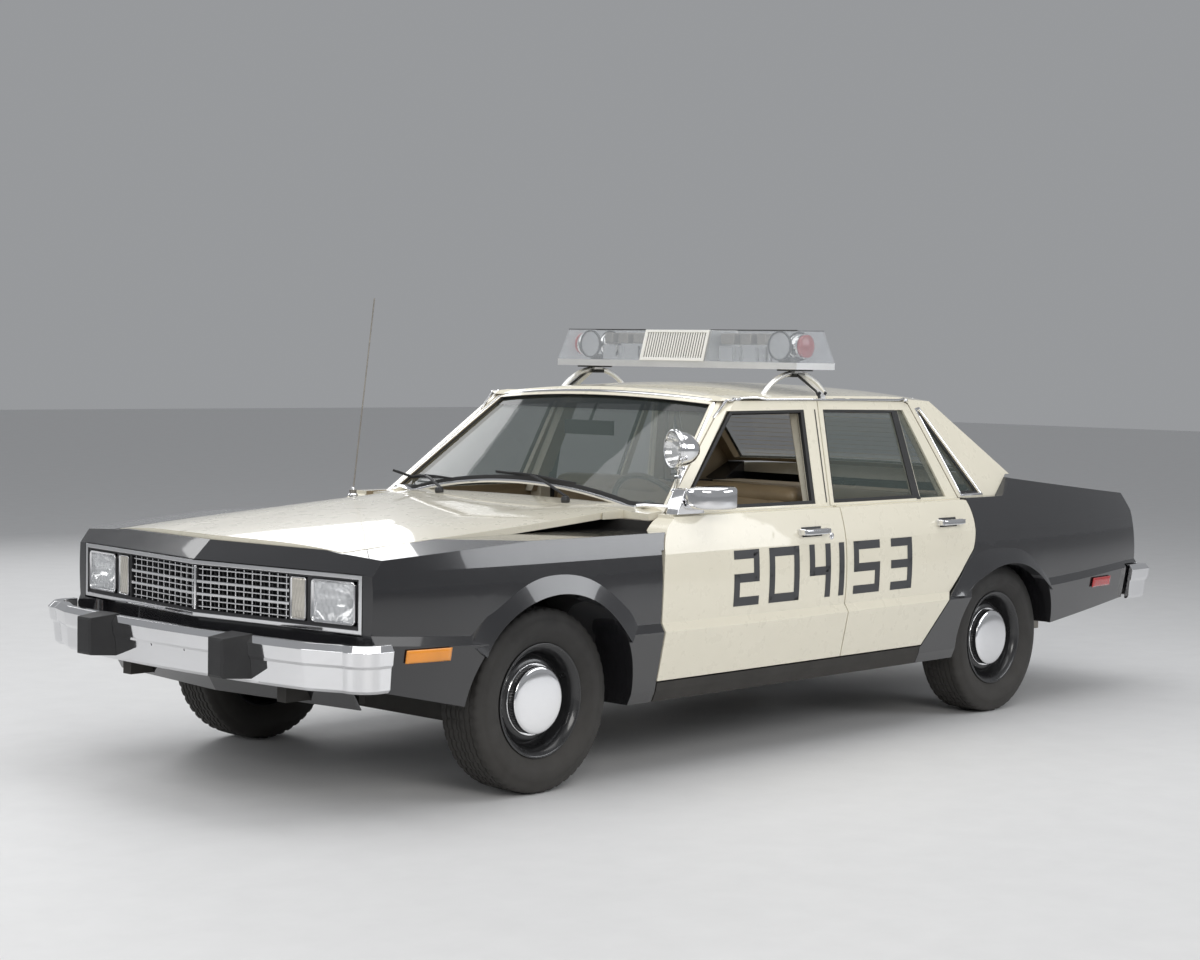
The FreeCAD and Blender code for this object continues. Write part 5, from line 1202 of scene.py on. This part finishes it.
def tail_lens_point(u, v):
    edge = min(1.0, min(u, 1 - u) * 20, min(v, 1 - v) * 8)
    rib = 0.0012 * math.cos(v * math.pi * 16) * edge
    return on_tail(LAMP_IN + (LAMP_OUT - LAMP_IN) * u, 0.604 + 0.166 * v, 0.024 + 0.008 * edge + rib)


tail_lens = Form().sheet(48, 12, tail_lens_point)
outline = rounded_box(LAMP_IN - 0.008, LAMP_OUT + 0.008, 0.597, 0.777, 0.010)
inside = rounded_box(LAMP_IN - 0.001, LAMP_OUT + 0.001, 0.604, 0.770, 0.006)
tail_frame = Form().rows([[on_tail(y, z, out) for y, z in line] for line, out in
                          ((outline, 0.002), (outline, 0.028), (inside, 0.030), (inside, 0.020))],
                          around=True)
reverse = Form().rows([[on_tail(LAMP_IN + y, z, 0.0335) for y in (0.012, 0.05, 0.088)]
                       for z in (0.640, 0.665, 0.690, 0.715, 0.738)])
piece("tail_lenses", tail_lens.both(), "red", closed=False, stands_for=["tail_lamps"], thick=0.003)
piece("tail_frames", tail_frame.both(), "chrome")
piece("reversing_lenses", reverse.both(), "lamp", closed=False, thick=0.002)
piece("side_markers_rear", side_lamp(-2.053, -1.883, 0.483, 0.525), "red", closed=False, thick=0.002)
PLATE_HALF, PLATE_Z, PLATE_RISE = 0.152, 0.690, 0.076


def plate_ring(shrink, out):
    """The plate's outline, this much smaller and this far behind the tail panel."""
    half, rise = PLATE_HALF - shrink, PLATE_RISE - shrink
    return [on_tail(y, z, out) for y, z in rounded_box(-half, half, PLATE_Z - rise, PLATE_Z + rise, 0.010)]


piece("rear_plate", Form().prism(plate_ring(0, 0.004), (-0.002, 0, 0)), "plate", bevel=0.0008)
plate_rim = Form().rows([plate_ring(*step) for step in ((0, 0.0065), (0.002, 0.0078), (0.004, 0.0065))],
                        around=True)
piece("plate_rim", plate_rim, "plate", closed=False)
screws = Form()
for y in (-0.089, 0.089):
    screws.lathe(on_tail(y, PLATE_Z, 0.0055), (-1, 0, 0), mm((0, 7), (3, 6), (4, 4), (4, 0)), 16)
piece("plate_screws", screws, "chrome")

# ------------------------------------------------------------------ under the hood
engine_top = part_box("engine")[1].z
CLEANER_OUTLINE = mm((0, 0), (0, 150), (12, 162), (48, 162), (60, 150), (66, 50), (70, 30), (70, 0))
cleaner = Form().lathe((1.50, 0, engine_top + 0.012), (0, 0, 1), CLEANER_OUTLINE, 48)
snorkel = ((1.62, 0.10, 0.040), (1.80, 0.16, 0.038), (1.88, 0.17, 0.030))
cleaner.tube([(x, y, engine_top + rise) for x, y, rise in snorkel], 0.026, sides=14)
piece("air_cleaner", cleaner, "dark", sharp=35)
covers = Form()
for sign in (1, -1):
    covers.box((1.24, sign * 0.175, engine_top - 0.002), (1.74, sign * 0.235, engine_top + 0.036))
piece("rocker_covers", covers, "steel", bevel=0.010)
piece("battery", Form().box((1.80, -0.575, 0.52), (2.00, -0.46, 0.70)), "dark", bevel=0.005)
UPPER_HOSE = [(1.78, 0.05, engine_top - 0.05), (1.90, 0.08, engine_top - 0.01), (2.02, 0.16, 0.70),
              (2.062, 0.18, 0.69)]
LOWER_HOSE = [(1.78, -0.12, 0.42), (1.90, -0.20, 0.40), (2.02, -0.22, 0.44), (2.062, -0.22, 0.46)]
hoses = Form().tube(smooth_line(UPPER_HOSE), 0.020, sides=12).tube(smooth_line(LOWER_HOSE), 0.022, sides=12)
piece("radiator_hoses", hoses, "rubber")

# ------------------------------------------------------------------ floor
FLOOR_HALF = 40
floor_mat = finish_of("floor", (0.74, 0.74, 0.74), 0.55, vary=0.02, bump=0.05, bump_scale=60)
mesh = bpy.data.meshes.new("floor")
mesh.from_pydata([(x * FLOOR_HALF, y * FLOOR_HALF, 0) for x, y in ((-1, -1), (1, -1), (1, 1), (-1, 1))], [],
                 [(0, 1, 2, 3)])
mesh.materials.append(floor_mat)
floor = placed("floor", mesh)
